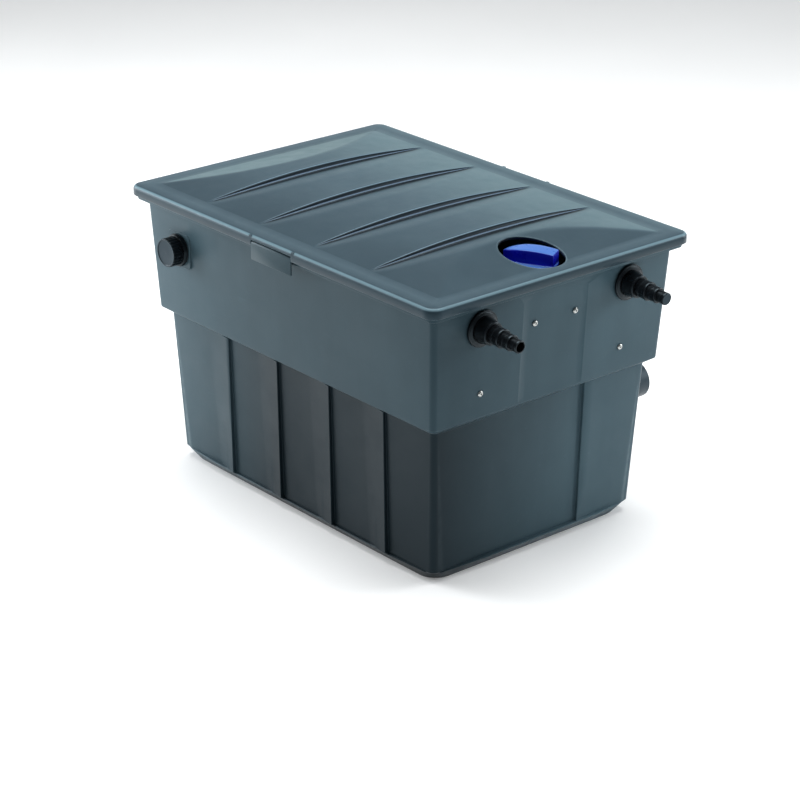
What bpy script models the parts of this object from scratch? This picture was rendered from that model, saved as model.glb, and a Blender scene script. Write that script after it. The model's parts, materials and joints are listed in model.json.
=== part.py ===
"""Flow-through pond filter box: tub, lift-off lid, hose inlets, sieve unit, foam cassettes, drain and outlet.

Metres, +Z up. The origin is the middle of the tub's underside. +X points out of the inlet end and
the side with the auxiliary port faces -Y. Each named object is one closed solid.
"""

import math

import bmesh
import bpy
from mathutils import Matrix, Vector

GAP = 0.0003  # clearance between pieces that touch

# Tub, as half sizes along X and Y at each height
WALL = 0.005
FOOT_Z = 0.024
LEDGE_LOW_Z = 0.328
LEDGE_HIGH_Z = 0.341
COLLAR_LOW_Z = 0.5765
COLLAR_SHELF_Z = 0.5805  # underneath the collar's web, which joins it to the wall
RIM_Z = 0.5855
UNDERSIDE_HALF = (0.392, 0.256)
FOOT_HALF = (0.405, 0.269)
LOWER_BOTTOM_HALF = (0.403, 0.267)
LOWER_TOP_HALF = (0.418, 0.282)
BAND_BOTTOM_HALF = (0.436, 0.300)
BAND_TOP_HALF = (0.449, 0.313)
COLLAR_HALF = (0.466, 0.330)
WALL_CORNER = 0.012
FOOT_CORNER = 0.040
CORNER_STEPS = 3

# Stepped panels of the lower wall: where each one drops, and how proud it stands
LONG_STEPS = (-0.216, -0.055, 0.109, 0.275)
SHORT_STEP = 0.112
SHORT_CREASE = -0.108
PANEL_RAMP_TOP = 0.074
PANEL_RAMP_BOTTOM = 0.060
STEP_RUN = 0.0006
PANEL_PROUD_TOP = 0.003
PANEL_PROUD_BOTTOM = 0.012
PANEL_SUNK_TOP = -0.003
PANEL_SUNK_BOTTOM = 0.003

# Lid
LID_HALF = (0.475, 0.339)
LID_CORNER = 0.025
LID_LOW_Z = 0.5860
LID_BORDER_Z = 0.607
LID_SKIN = 0.004
LID_FLANGE = 0.0115  # how far in the skirt's foot reaches, to rest on the collar
FIELD_HALF = (0.433, 0.287)
CROWN = 0.018
FRONT_SLOPE = 0.13
REAR_SLOPE = 0.18
RIDGES = (-0.275, -0.104, 0.067, 0.238)
RIDGE_DEPTH = 0.007
OPENING = (0.375, 0.0)
OPENING_HALF = (0.0725, 0.0605)

# Lid flaps
FLAP_WIDTH = 0.124
FLAP_LOW_Z = 0.557
FLAP_PIN_Z = 0.5912
FLAP_PIN_Y = 0.3345
FLAP_THICK = 0.003

# Sieve unit
GRIP = (0.371, 0.0)
GRIP_TURN = 28.5
GRIP_DISC_Z = 0.597
GRIP_BAR = (
    (-0.0535, 0.0015, 0.6120),
    (-0.0460, 0.0078, 0.6160),
    (-0.0340, 0.0138, 0.6195),
    (-0.0170, 0.0187, 0.6226),
    (0.0020, 0.0205, 0.6240),
    (0.0220, 0.0205, 0.6236),
    (0.0400, 0.0196, 0.6220),
    (0.0505, 0.0188, 0.6204),
    (0.0520, 0.0176, 0.6198),
)
SIEVE_R = 0.052
SUMP_R = 0.045
SIEVE_LOW_Z = 0.350
SIEVE_TOP_Z = 0.520
DRAIN = (0.352, 0.259)  # x and z of the stub's axis
DRAIN_R = 0.0375
DRAIN_END_Y = 0.329
DRAIN_SEAT_DEPTH = 0.0130

# Wall fittings
INLET_Y = 0.192
INLET_Z = 0.530
PORT = (-0.342, 0.493)  # x and z of the auxiliary port's axis
PORT_SEAT_HALF = 0.037
PORT_SEAT_DEPTH = 0.0115
PORT_CAP_R = 0.0303
INLET_BODY_R = 0.0205
TAIL_STEPS = ((0.0190, 0.0265), (0.0160, 0.0240), (0.0128, 0.0205))  # radius and length of each
TAIL_BORE_R = 0.0098
SCREWS = ((0.053, 0.504), (0.185, 0.393))  # y and z, mirrored
OUTLET_Z = 0.436
OUTLET_R = 0.055
OUTLET_SEAT_DEPTH = 0.0145

# Chambers and foam
INLET_WALL_X = 0.268
WEIR_X = -0.322
PAD_SIZE = (0.250, 0.480, 0.075)
PAD_PITCH = 0.083
PAD_FIRST_Z = 0.088
CASSETTES = {"front": 0.128, "rear": -0.152}
ROD_Y = 0.125

SEGMENTS = 24

COLOURS = {
    "shell": ((0.055, 0.068, 0.075), 0.45, 0.0),
    "black": ((0.008, 0.009, 0.011), 0.4, 0.0),
    "rubber": ((0.015, 0.015, 0.015), 0.8, 0.0),
    "steel": ((0.62, 0.62, 0.60), 0.28, 1.0),
    "blue": ((0.010, 0.018, 0.33), 0.35, 0.0),
    "grey": ((0.16, 0.17, 0.18), 0.5, 0.0),
    "foam_blue": ((0.03, 0.09, 0.30), 0.95, 0.0),
    "foam_red": ((0.30, 0.03, 0.03), 0.95, 0.0),
}


def clear_scene():
    for obj in list(bpy.data.objects):
        bpy.data.objects.remove(obj, do_unlink=True)


def material(slot):
    found = bpy.data.materials.get(slot)
    if found:
        return found
    colour, roughness, metallic = COLOURS[slot]
    made = bpy.data.materials.new(slot)
    made.use_nodes = True
    shader = made.node_tree.nodes["Principled BSDF"]
    shader.inputs["Base Color"].default_value = (*colour, 1.0)
    shader.inputs["Roughness"].default_value = roughness
    shader.inputs["Metallic"].default_value = metallic
    return made


# Building blocks


def new_object(name, points, faces, slot="shell", matrix=None):
    """An object from points and faces, with its faces turned outwards and its origin at the matrix."""
    mesh = bpy.data.meshes.new(name)
    mesh.from_pydata([tuple(point) for point in points], [], faces)
    work = bmesh.new()
    work.from_mesh(mesh)
    bmesh.ops.recalc_face_normals(work, faces=work.faces)
    work.to_mesh(mesh)
    work.free()
    mesh.materials.append(material(slot))
    obj = bpy.data.objects.new(name, mesh)
    bpy.context.scene.collection.objects.link(obj)
    obj.matrix_world = matrix or Matrix()
    return obj


def loft(name, rings, slot="shell", matrix=None, closed=False):
    """A solid from rings of equal length. Its ends are capped, unless the last ring meets the first."""
    count = len(rings[0])
    points = [point for ring in rings for point in ring]
    faces = []
    last = len(rings) if closed else len(rings) - 1
    for level in range(last):
        low = level * count
        high = (level + 1) % len(rings) * count
        for i in range(count):
            j = (i + 1) % count
            faces.append((low + i, low + j, high + j, high + i))
    if not closed:
        faces.append(tuple(range(count - 1, -1, -1)))
        faces.append(tuple(range(len(points) - count, len(points))))
    return new_object(name, points, faces, slot, matrix)


def box(name, low, high, slot="shell", matrix=None):
    (x0, y0, z0), (x1, y1, z1) = low, high
    rings = [[(x0, y0, z), (x1, y0, z), (x1, y1, z), (x0, y1, z)] for z in (z0, z1)]
    return loft(name, rings, slot, matrix)


def plate(name, outline, low, high, slot="shell", matrix=None):
    """A flat outline in local XY, as thick as low to high along local Z."""
    return loft(name, [[(x, y, z) for x, y in outline] for z in (low, high)], slot, matrix)


def circle(radius, z=0.0, segments=SEGMENTS, centre=(0.0, 0.0), radius_y=None):
    step = 2 * math.pi / segments
    radius_y = radius_y or radius
    return [
        (centre[0] + radius * math.cos(i * step), centre[1] + radius_y * math.sin(i * step), z)
        for i in range(segments)
    ]


def turned(name, profile, slot="black", matrix=None, segments=SEGMENTS, ring=True):
    """A profile of (radius, z) turned round local Z: a ring round a bore, or a solid of revolution."""
    rings = [circle(radius, z, segments) for radius, z in profile]
    return smooth(loft(name, rings, slot, matrix, closed=ring))


def tube(name, inner, outer, low, high, slot="black", matrix=None, segments=SEGMENTS):
    profile = [(inner, low), (outer, low), (outer, high), (inner, high)]
    return turned(name, profile, slot, matrix, segments)


def rod(name, radius, low, high, slot="black", matrix=None, segments=SEGMENTS):
    return turned(name, [(radius, low), (radius, high)], slot, matrix, segments, ring=False)


def smooth(obj, angle=35):
    obj.data.shade_smooth()
    obj.data.set_sharp_from_angle(angle=math.radians(angle))
    return obj


def boolean(target, tool, operation):
    """Cuts the tool from the target, or joins it on, and removes the tool."""
    bpy.context.view_layer.update()
    modifier = target.modifiers.new(operation.lower(), "BOOLEAN")
    modifier.operation = operation
    modifier.object = tool
    graph = bpy.context.evaluated_depsgraph_get()
    mesh = bpy.data.meshes.new_from_object(target.evaluated_get(graph))
    target.modifiers.clear()
    target.data = mesh
    bpy.data.objects.remove(tool, do_unlink=True)
    return target


def cut(target, tool):
    return boolean(target, tool, "DIFFERENCE")


def join(target, tool):
    return boolean(target, tool, "UNION")


def facing(axis, place):
    """A frame at a place whose local +Z points along axis and whose local +X stays level."""
    normal = Vector(axis).normalized()
    level = Vector((0, 0, 1)).cross(normal)
    if level.length < 1e-6:
        level = Vector((1, 0, 0))
    level.normalize()
    up = normal.cross(level)
    return Matrix.Translation(place) @ Matrix((level, up, normal)).transposed().to_4x4()


def hexagon(across):
    radius = across / math.sqrt(3)
    return [(radius * math.cos(k * math.pi / 3), radius * math.sin(k * math.pi / 3)) for k in range(6)]


def mix(low, high, share):
    return low + (high - low) * share


# Tub


def outline(half, corner, z, long_side, short_side):
    """A rounded rectangle, counter-clockwise from above, with offsets (along the side, outwards).

    Opposite sides are the same side turned half round.
    """
    half_x, half_y = half
    points = []
    for turn in (1, -1):
        for along, out in long_side:
            points.append((turn * along, -turn * (half_y + out), z))
        points += corner_points(turn * (half_x - corner), -turn * (half_y - corner), corner, -90, turn, z)
        for along, out in short_side:
            points.append((turn * (half_x + out), turn * along, z))
        points += corner_points(turn * (half_x - corner), turn * (half_y - corner), corner, 0, turn, z)
    return points


def corner_points(x, y, corner, start, turn, z):
    first = start if turn > 0 else start + 180
    points = []
    for k in range(CORNER_STEPS + 1):
        angle = math.radians(first + 90 * k / CORNER_STEPS)
        points.append((x + corner * math.cos(angle), y + corner * math.sin(angle), z))
    return points


def panels(share, shift=0.0, thickness=0.0):
    """Offsets of the stepped panels at a share of the lower wall's height, for both kinds of side."""
    proud = mix(PANEL_PROUD_BOTTOM, PANEL_PROUD_TOP, share) - thickness
    sunk = mix(PANEL_SUNK_BOTTOM, PANEL_SUNK_TOP, share) - thickness
    ramp = mix(PANEL_RAMP_BOTTOM, PANEL_RAMP_TOP, share)
    long_side = []
    resting = -thickness
    for step in LONG_STEPS:
        long_side.append((step - ramp + shift, resting))
        long_side.append((step - ramp / 2 + shift, resting + 0.34 * (proud - resting)))
        long_side.append((step + shift, proud))
        long_side.append((step + STEP_RUN + shift, sunk))
        resting = sunk
    short_side = [
        (SHORT_CREASE, -thickness),
        (mix(SHORT_CREASE, SHORT_STEP, 0.6), mix(0, sunk + thickness, 0.45) - thickness),
        (SHORT_STEP - shift, sunk - 0.003),
        (SHORT_STEP + STEP_RUN - shift, proud * 0.5 - thickness * 0.5),
        (SHORT_STEP + 0.060, -thickness + 0.001),
    ]
    return long_side, short_side


def plain_sides(out=0.0):
    long_side, short_side = panels(1.0)
    return [(along, out) for along, _ in long_side], [(along, out) for along, _ in short_side]


def tub_rings():
    plain = plain_sides()
    inside = plain_sides(-WALL)
    shelf = WALL * 0.6
    rings = [
        outline(UNDERSIDE_HALF, FOOT_CORNER, 0.0, *plain),
        outline(FOOT_HALF, FOOT_CORNER - 0.005, FOOT_Z - 0.001, *plain_sides(0.006)),
        outline(LOWER_BOTTOM_HALF, WALL_CORNER, FOOT_Z + 0.001, *panels(0.0)),
        outline(LOWER_TOP_HALF, WALL_CORNER, LEDGE_LOW_Z, *panels(1.0)),
        outline(BAND_BOTTOM_HALF, WALL_CORNER, LEDGE_HIGH_Z, *plain),
        outline(BAND_TOP_HALF, WALL_CORNER, COLLAR_SHELF_Z, *plain),
    ]
    skirt = shrink(COLLAR_HALF, 0.004)
    rings += [
        outline(skirt, WALL_CORNER, COLLAR_SHELF_Z, *plain),
        outline(skirt, WALL_CORNER, COLLAR_LOW_Z, *plain),
        outline(COLLAR_HALF, WALL_CORNER + 0.004, COLLAR_LOW_Z, *plain),
        outline(COLLAR_HALF, WALL_CORNER + 0.004, RIM_Z, *plain),
        outline(shrink(BAND_TOP_HALF, WALL), WALL_CORNER * 0.6, RIM_Z, *plain),
        outline(BAND_BOTTOM_HALF, WALL_CORNER * 0.6 + WALL, LEDGE_HIGH_Z + shelf, *inside),
        outline(LOWER_TOP_HALF, WALL_CORNER * 0.6 + WALL, LEDGE_LOW_Z + shelf, *panels(1.0, -WALL, WALL)),
        outline(LOWER_BOTTOM_HALF, WALL_CORNER + WALL, FOOT_Z, *panels(0.0, -WALL, WALL)),
        outline(UNDERSIDE_HALF, FOOT_CORNER + WALL, WALL, *inside),
    ]
    return rings


def shrink(half, amount):
    return half[0] - amount, half[1] - amount


def band_out(half_bottom, half_top, z):
    """How far out the upper band's wall is at a height."""
    return mix(half_bottom, half_top, (z - LEDGE_HIGH_Z) / (COLLAR_SHELF_Z - LEDGE_HIGH_Z))


def make_tub():
    tub = loft("tub", tub_rings())
    for side in (-1, 1):
        cut(tub, rod("bore", INLET_BODY_R + 0.0005, -0.03, 0.03, matrix=wall_frame(side * INLET_Y, INLET_Z)))
    port = facing((0, -1, 0), (PORT[0], -port_seat_y(), PORT[1]))
    join(tub, plate("seat", rounded_square(PORT_SEAT_HALF, 0.011), -PORT_SEAT_DEPTH, 0.0, matrix=port))
    cut(tub, rod("bore", 0.0235, -0.05, 0.05, matrix=port))
    for y, z in screw_places():
        cut(tub, rod("bore", 0.0033, -0.03, 0.03, matrix=wall_frame(y, z), segments=16))
    drain = facing((0, 1, 0), (DRAIN[0], drain_seat_y(), DRAIN[1]))
    join(tub, rod("seat", 0.049, -DRAIN_SEAT_DEPTH, 0.0, matrix=drain))
    cut(tub, rod("bore", DRAIN_R + 0.0008, -0.05, 0.05, matrix=drain))
    outlet = facing((-1, 0, 0), (-outlet_seat_x(), 0, OUTLET_Z))
    join(tub, rod("seat", 0.070, -OUTLET_SEAT_DEPTH, 0.0, matrix=outlet, segments=28))
    cut(tub, rod("bore", OUTLET_R + 0.0008, -0.05, 0.05, matrix=outlet, segments=28))
    return tub


def port_seat_y():
    return band_out(BAND_BOTTOM_HALF[1], BAND_TOP_HALF[1], PORT[1] + PORT_SEAT_HALF) + 0.001


def drain_seat_y():
    return LOWER_TOP_HALF[1] + 0.0015


def outlet_seat_x():
    return band_out(BAND_BOTTOM_HALF[0], BAND_TOP_HALF[0], OUTLET_Z + 0.072) + 0.001


def rounded_square(half, corner):
    points = []
    for k, (sx, sy) in enumerate(((1, -1), (1, 1), (-1, 1), (-1, -1))):
        for i in range(CORNER_STEPS + 1):
            angle = math.radians(-90 + 90 * k + 90 * i / CORNER_STEPS)
            x = sx * (half - corner) + corner * math.cos(angle)
            points.append((x, sy * (half - corner) + corner * math.sin(angle)))
    return points


def screw_places():
    return [(side * y, z) for y, z in SCREWS for side in (-1, 1)]


def wall_frame(y, z):
    """A frame on the inlet wall's outer face. The wall leans out, so local +Z dips a little."""
    x = band_out(BAND_BOTTOM_HALF[0], BAND_TOP_HALF[0], z)
    rise = COLLAR_SHELF_Z - LEDGE_HIGH_Z
    lean = BAND_TOP_HALF[0] - BAND_BOTTOM_HALF[0]
    return facing((rise, 0, -lean), (x, y, z))


# Lid


def lid_height(x, y):
    """The lid's top: a barrel across Y, ended by a sloping face at each end, in a level border."""
    inside_y = max(0.0, 1 - (y / FIELD_HALF[1]) ** 2)
    barrel = CROWN * inside_y
    front = FRONT_SLOPE * (FIELD_HALF[0] - x)
    rear = REAR_SLOPE * (FIELD_HALF[0] + x)
    crown = max(0.0, min(barrel, front, rear))
    return LID_BORDER_Z + crown - ridge_depth(x, y, inside_y)


def ridge_depth(x, y, inside_y):
    """Depth below the barrel: a drop at each ridge, then a long ramp back up, fading at the ends."""
    fade = inside_y**0.8
    for ridge in RIDGES:
        along = x - ridge
        if 0 < along < 0.062:
            drop = 0.003 + 0.004 * fade
            if along < drop:
                return RIDGE_DEPTH * fade * along / drop
            return RIDGE_DEPTH * fade * (1 - (along - drop) / (0.062 - drop)) ** 1.3
    return 0.0


def lid_columns():
    ends = [-FIELD_HALF[0], -0.414, -0.394, -0.372, -0.350, -0.332]
    ends += [0.318, 0.340, 0.362, 0.384, 0.410, FIELD_HALF[0]]
    for ridge in RIDGES:
        ends += [ridge, ridge + 0.0069, ridge + 0.018, ridge + 0.036, ridge + 0.062]
    return sorted(ends)


def lid_rows():
    count = 6
    return [FIELD_HALF[1] * math.sin(math.pi / 2 * k / count) for k in range(-count, count + 1)]


def edge_ring(inset, z, columns, rows):
    """A ring of the lid's rounded rectangle with one point for each point of the field's edge."""
    half_x, half_y = shrink(LID_HALF, inset)
    corner = max(LID_CORNER - inset, 0.002)
    scale_x = (half_x - corner) / FIELD_HALF[0]
    scale_y = (half_y - corner) / FIELD_HALF[1]
    points = [(x * scale_x, -half_y, z) for x in columns]
    points += arc(half_x - corner, -half_y + corner, corner, -90, z)
    points += [(half_x, y * scale_y, z) for y in rows]
    points += arc(half_x - corner, half_y - corner, corner, 0, z)
    points += [(x * scale_x, half_y, z) for x in reversed(columns)]
    points += arc(-half_x + corner, half_y - corner, corner, 90, z)
    points += [(-half_x, y * scale_y, z) for y in reversed(rows)]
    points += arc(-half_x + corner, -half_y + corner, corner, 180, z)
    return points


def arc(x, y, radius, start, z):
    points = []
    for k in range(1, CORNER_STEPS):
        angle = math.radians(start + 90 * k / CORNER_STEPS)
        points.append((x + radius * math.cos(angle), y + radius * math.sin(angle), z))
    return points


def field_ring(columns, rows, z_shift):
    """The field's edge, in the order of edge_ring. Each arc point falls on the field's corner."""
    def at(x, y):
        return (x, y, lid_height(x, y) + z_shift)

    half_x, half_y = FIELD_HALF
    inner = CORNER_STEPS - 1
    points = [at(x, -half_y) for x in columns] + [at(half_x, -half_y)] * inner
    points += [at(half_x, y) for y in rows] + [at(half_x, half_y)] * inner
    points += [at(x, half_y) for x in reversed(columns)] + [at(-half_x, half_y)] * inner
    points += [at(-half_x, y) for y in reversed(rows)] + [at(-half_x, -half_y)] * inner
    return points


def lid_skin(columns, rows, z_shift):
    """Points and faces of the field at its height plus z_shift."""
    points = [(x, y, lid_height(x, y) + z_shift) for y in rows for x in columns]
    wide = len(columns)
    faces = []
    for j in range(len(rows) - 1):
        for i in range(wide - 1):
            low = j * wide + i
            faces.append((low, low + 1, low + wide + 1, low + wide))
    return points, faces


def make_lid():
    columns = lid_columns()
    rows = lid_rows()
    points = []
    faces = []
    ring_levels = [
        field_ring(columns, rows, 0.0),
        edge_ring(0.008, LID_BORDER_Z, columns, rows),
        edge_ring(0.0024, LID_BORDER_Z - 0.0024, columns, rows),
        edge_ring(0.0, LID_BORDER_Z - 0.008, columns, rows),
        edge_ring(0.0, LID_LOW_Z, columns, rows),
        edge_ring(LID_FLANGE, LID_LOW_Z, columns, rows),
        edge_ring(LID_FLANGE, LID_LOW_Z + 0.0030, columns, rows),
        edge_ring(LID_SKIN, LID_LOW_Z + 0.0034, columns, rows),
        edge_ring(LID_SKIN, LID_BORDER_Z - 0.006, columns, rows),
        edge_ring(0.010, LID_BORDER_Z - LID_SKIN, columns, rows),
        field_ring(columns, rows, -LID_SKIN),
    ]
    count = len(ring_levels[0])
    for level, ring in enumerate(ring_levels):
        for i in range(count):
            if level:
                low = (level - 1) * count
                j = (i + 1) % count
                faces.append((low + i, low + j, low + count + j, low + count + i))
        points += ring
    for shift, flip in ((0.0, 1), (-LID_SKIN, -1)):
        skin_points, skin_faces = lid_skin(columns, rows, shift)
        base = len(points)
        points += skin_points
        faces += [tuple(base + k for k in face[::flip]) for face in skin_faces]
    lid = new_object("lid", points, faces)
    weld(lid)
    opening = [circle(OPENING_HALF[0], z, 36, OPENING, OPENING_HALF[1]) for z in (0.59, 0.65)]
    cut(lid, loft("opening", opening))
    for side in (-1, 1):
        half = FLAP_WIDTH / 2 + 0.0012
        cut(lid, box("notch", (-half, -0.0078, -0.011), (half, 0.020, 0.0062), matrix=flap_frame(side)))
        for end in (-1, 1):
            join(lid, flap_lug(side, end))
        cut(lid, flap_bore(side))
    return smooth(lid, 25)


def weld(obj):
    work = bmesh.new()
    work.from_mesh(obj.data)
    bmesh.ops.remove_doubles(work, verts=work.verts, dist=1e-6)
    bmesh.ops.dissolve_degenerate(work, edges=work.edges, dist=1e-7)
    bmesh.ops.recalc_face_normals(work, faces=work.faces)
    work.to_mesh(obj.data)
    work.free()


def flap_frame(side):
    """A frame on a flap's pin: local X runs along the pin and local Y points out of the lid."""
    turn = 0.0 if side > 0 else math.pi
    return Matrix.Translation((0, side * FLAP_PIN_Y, FLAP_PIN_Z)) @ Matrix.Rotation(turn, 4, "Z")


def flap_lug(side, end):
    """The lid's lug at one end of a flap: it holds the end of the pin."""
    near = end * (FLAP_WIDTH / 2 + 0.0012 - 0.0005)
    far = end * (FLAP_WIDTH / 2 + 0.008)
    low = (min(near, far), -0.0130, -0.0046)
    high = (max(near, far), 0.0035, 0.0150)
    return box("lug", low, high, matrix=flap_frame(side))


def flap_bore(side):
    half = FLAP_WIDTH / 2 + 0.0078
    place = flap_frame(side) @ Matrix.Rotation(math.pi / 2, 4, "Y")
    return rod("bore", 0.0018, -half, half, matrix=place, segments=12)


def make_flap(name, side):
    """A flap that hangs on its pin, with a round knuckle and a rib inside its lower edge."""
    half = FLAP_WIDTH / 2
    low = FLAP_LOW_Z - FLAP_PIN_Z
    face = LID_HALF[1] - FLAP_PIN_Y
    profile = [(face, low), (face, -0.001), (face - 0.0008, 0.0022), (face - 0.0024, 0.0034)]
    profile += [(-0.0012, 0.0034), (-0.0034, 0.0012), (-0.0034, -0.0016), (-0.0012, -0.0034)]
    profile += [(face - FLAP_THICK, -0.0060), (face - FLAP_THICK, low)]
    rings = [[(x, y, z) for y, z in profile] for x in (-half, half)]
    return cut(loft(name, rings, matrix=flap_frame(side)), flap_bore(side))


def make_flap_pin(name, side):
    half = FLAP_WIDTH / 2 + 0.0075
    place = flap_frame(side) @ Matrix.Rotation(math.pi / 2, 4, "Y")
    return rod(name, 0.0015, -half, half, "steel", place, 12)


# Inlets


def make_inlet(side, label):
    """One inlet on the inlet wall: seal, body, lock nut, union nut and stepped hose tail."""
    place = wall_frame(side * INLET_Y, INLET_Z)
    body_r = INLET_BODY_R
    tube(f"inlet_{label}_seal", 0.0215, 0.0350, GAP, 0.0018, "rubber", place)
    body = [(0.0140, -0.026), (body_r, -0.026), (body_r, 0.0021), (0.0370, 0.0021), (0.0370, 0.0066)]
    body += [(0.0290, 0.0085), (0.0188, 0.0085), (0.0188, 0.0200), (0.0140, 0.0200)]
    turned(f"inlet_{label}_body", body, "black", place)
    back = -WALL - 0.0008
    nut = plate(f"inlet_{label}_lock_nut", hexagon(0.056), back - 0.0090, back, "black", place)
    cut(nut, rod("bore", body_r + GAP, back - 0.02, 0.01, matrix=place))
    union = [(0.0192, 0.0088), (0.0262, 0.0088), (0.0272, 0.0110), (0.0222, 0.0335)]
    union += [(0.0215, 0.0350), (0.0178, 0.0350), (0.0178, 0.0290), (0.0192, 0.0290)]
    turned(f"inlet_{label}_union_nut", union, "black", place)
    turned(f"inlet_{label}_hose_tail", tail_profile(side), "black", place)


def tail_profile(side):
    """A hose tail for 38, 32 and 25 mm hose. The one at -Y has its tip cut open, the other is closed."""
    outside = [(0.0187, 0.0203), (0.0187, 0.0287), (0.0174, 0.0287)]
    start = 0.0360
    for radius, length in TAIL_STEPS:
        crest = start + length
        outside += [(radius - 0.0012, start), (radius, crest - 0.004), (radius - 0.0006, crest)]
        start = crest
    inside = [(TAIL_BORE_R, 0.0500), (0.0135, 0.0330), (0.0138, 0.0203)]
    if side < 0:
        return outside + [(TAIL_BORE_R, start), *inside]
    return outside + [(0.0005, start), (0.0005, start - 0.003), (TAIL_BORE_R, start - 0.003), *inside]


def make_wall_screw(number, y, z):
    """A button-head screw with a hexagon socket. Its shank reaches into the carrier's boss."""
    profile = [(0.0030, -0.0120), (0.0030, 0.0004), (0.0062, 0.0004), (0.0062, 0.0012)]
    profile += [(0.0052, 0.0030), (0.0030, 0.0038)]
    place = wall_frame(y, z)
    screw = turned(f"wall_screw_{number}", profile, "steel", place, 20, ring=False)
    cut(screw, plate("socket", hexagon(0.0036), 0.0018, 0.01, matrix=place))


# Auxiliary port


def make_port():
    """The capped port in the long side: seal, body with collar, lock nut and knurled cap."""
    place = facing((0, -1, 0), (PORT[0], -port_seat_y(), PORT[1]))
    tube("port_seal", 0.0240, 0.0330, GAP, 0.0020, "rubber", place)
    body = [(0.0170, -0.0300), (0.0230, -0.0300), (0.0230, 0.0023), (0.0340, 0.0023), (0.0345, 0.0040)]
    body += [(0.0325, 0.0100), (0.0252, 0.0100), (0.0252, 0.0260), (0.0170, 0.0260)]
    turned("port_body", body, "black", place)
    inner = -PORT_SEAT_DEPTH
    nut = plate("port_lock_nut", hexagon(0.060), inner - 0.0110, inner - GAP, "black", place)
    cut(nut, rod("bore", 0.0233, inner - 0.02, inner + 0.01, matrix=place))
    cap = plate("port_cap", knurled(PORT_CAP_R, 0.0009, 24), 0.0103, 0.0340, "black", place)
    cut(cap, rod("bore", 0.0256, 0.0, 0.0290, matrix=place))
    dish = [(PORT_CAP_R - 0.0055, 0.0332), (PORT_CAP_R - 0.0040, 0.0350)]
    cut(cap, turned("dish", dish, matrix=place, ring=False))


def knurled(radius, depth, ribs):
    """A round outline with a scallop between each rib and the next."""
    points = []
    for k in range(ribs):
        for turn, out in ((0.0, 0.0), (0.32, -depth), (0.68, -depth)):
            angle = 2 * math.pi * (k + turn) / ribs
            points.append(((radius + out) * math.cos(angle), (radius + out) * math.sin(angle)))
    return points


# Drain and outlet


def make_drain():
    place = facing((0, 1, 0), (DRAIN[0], drain_seat_y(), DRAIN[1]))
    tube("drain_seal", DRAIN_R + 0.001, 0.0460, GAP, 0.0023, "rubber", place)
    stub = [(DRAIN_R - 0.003, -0.030), (DRAIN_R, -0.030), (DRAIN_R, 0.0026), (0.0470, 0.0026)]
    end = DRAIN_END_Y - drain_seat_y()
    stub += [(0.0470, 0.0070), (DRAIN_R, 0.0070), (DRAIN_R, end), (DRAIN_R - 0.003, end)]
    turned("drain_stub", stub, "grey", place, 28)
    back = -DRAIN_SEAT_DEPTH - GAP
    tube("drain_lock_nut", DRAIN_R + GAP, 0.0470, back - 0.0110, back, "black", place, 28)


def make_outlet():
    """The main outlet, a plain 110 mm pipe stub."""
    place = facing((-1, 0, 0), (-outlet_seat_x(), 0, OUTLET_Z))
    tube("outlet_seal", OUTLET_R + 0.001, 0.0650, GAP, 0.0023, "rubber", place, 28)
    stub = [(OUTLET_R - 0.0035, -0.035), (OUTLET_R, -0.035), (OUTLET_R, 0.0026), (0.0670, 0.0026)]
    stub += [(0.0670, 0.0075), (OUTLET_R, 0.0075), (OUTLET_R, 0.0285), (OUTLET_R - 0.0035, 0.0285)]
    turned("outlet_stub", stub, "black", place, 28)
    back = -OUTLET_SEAT_DEPTH - GAP
    tube("outlet_lock_nut", OUTLET_R + GAP, 0.0670, back - 0.0120, back, "black", place, 28)


# Sieve unit


def make_screen_carrier():
    """A plate on the inlet wall with a boss for each screw and a ring round the sieve's top."""
    low = wall_frame(0, 0.360)
    outline_points = [(-0.205, 0.0), (0.205, 0.0), (0.205, 0.055), (0.090, 0.098), (0.090, 0.185)]
    outline_points += [(-x, y) for x, y in reversed(outline_points[2:])]
    back = -WALL - 0.0006
    carrier = plate("screen_carrier", outline_points, back - 0.004, back, "black", low)
    ring = tube("ring", SIEVE_R + 0.0008, SIEVE_R + 0.0065, 0.494, 0.512, matrix=upright())
    arm = box("arm", (0.424, -0.030, 0.494), (0.4375, 0.030, 0.512))
    cut(arm, rod("bore", SIEVE_R + 0.003, 0.48, 0.53, matrix=upright()))
    join(ring, arm)
    beyond = [(-0.3, -0.2), (0.3, -0.2), (0.3, 0.4), (-0.3, 0.4)]
    cut(ring, plate("trim", beyond, back - 0.002, back + 0.06, matrix=low))
    join(carrier, ring)
    for y, z in screw_places():
        place = wall_frame(y, z)
        join(carrier, rod("boss", 0.0080, back - 0.0120, back - 0.002, matrix=place, segments=20))
        cut(carrier, rod("bore", 0.0033, back - 0.0100, 0.02, matrix=place, segments=16))


def upright(z=0.0):
    return Matrix.Translation((GRIP[0], GRIP[1], z))


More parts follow.
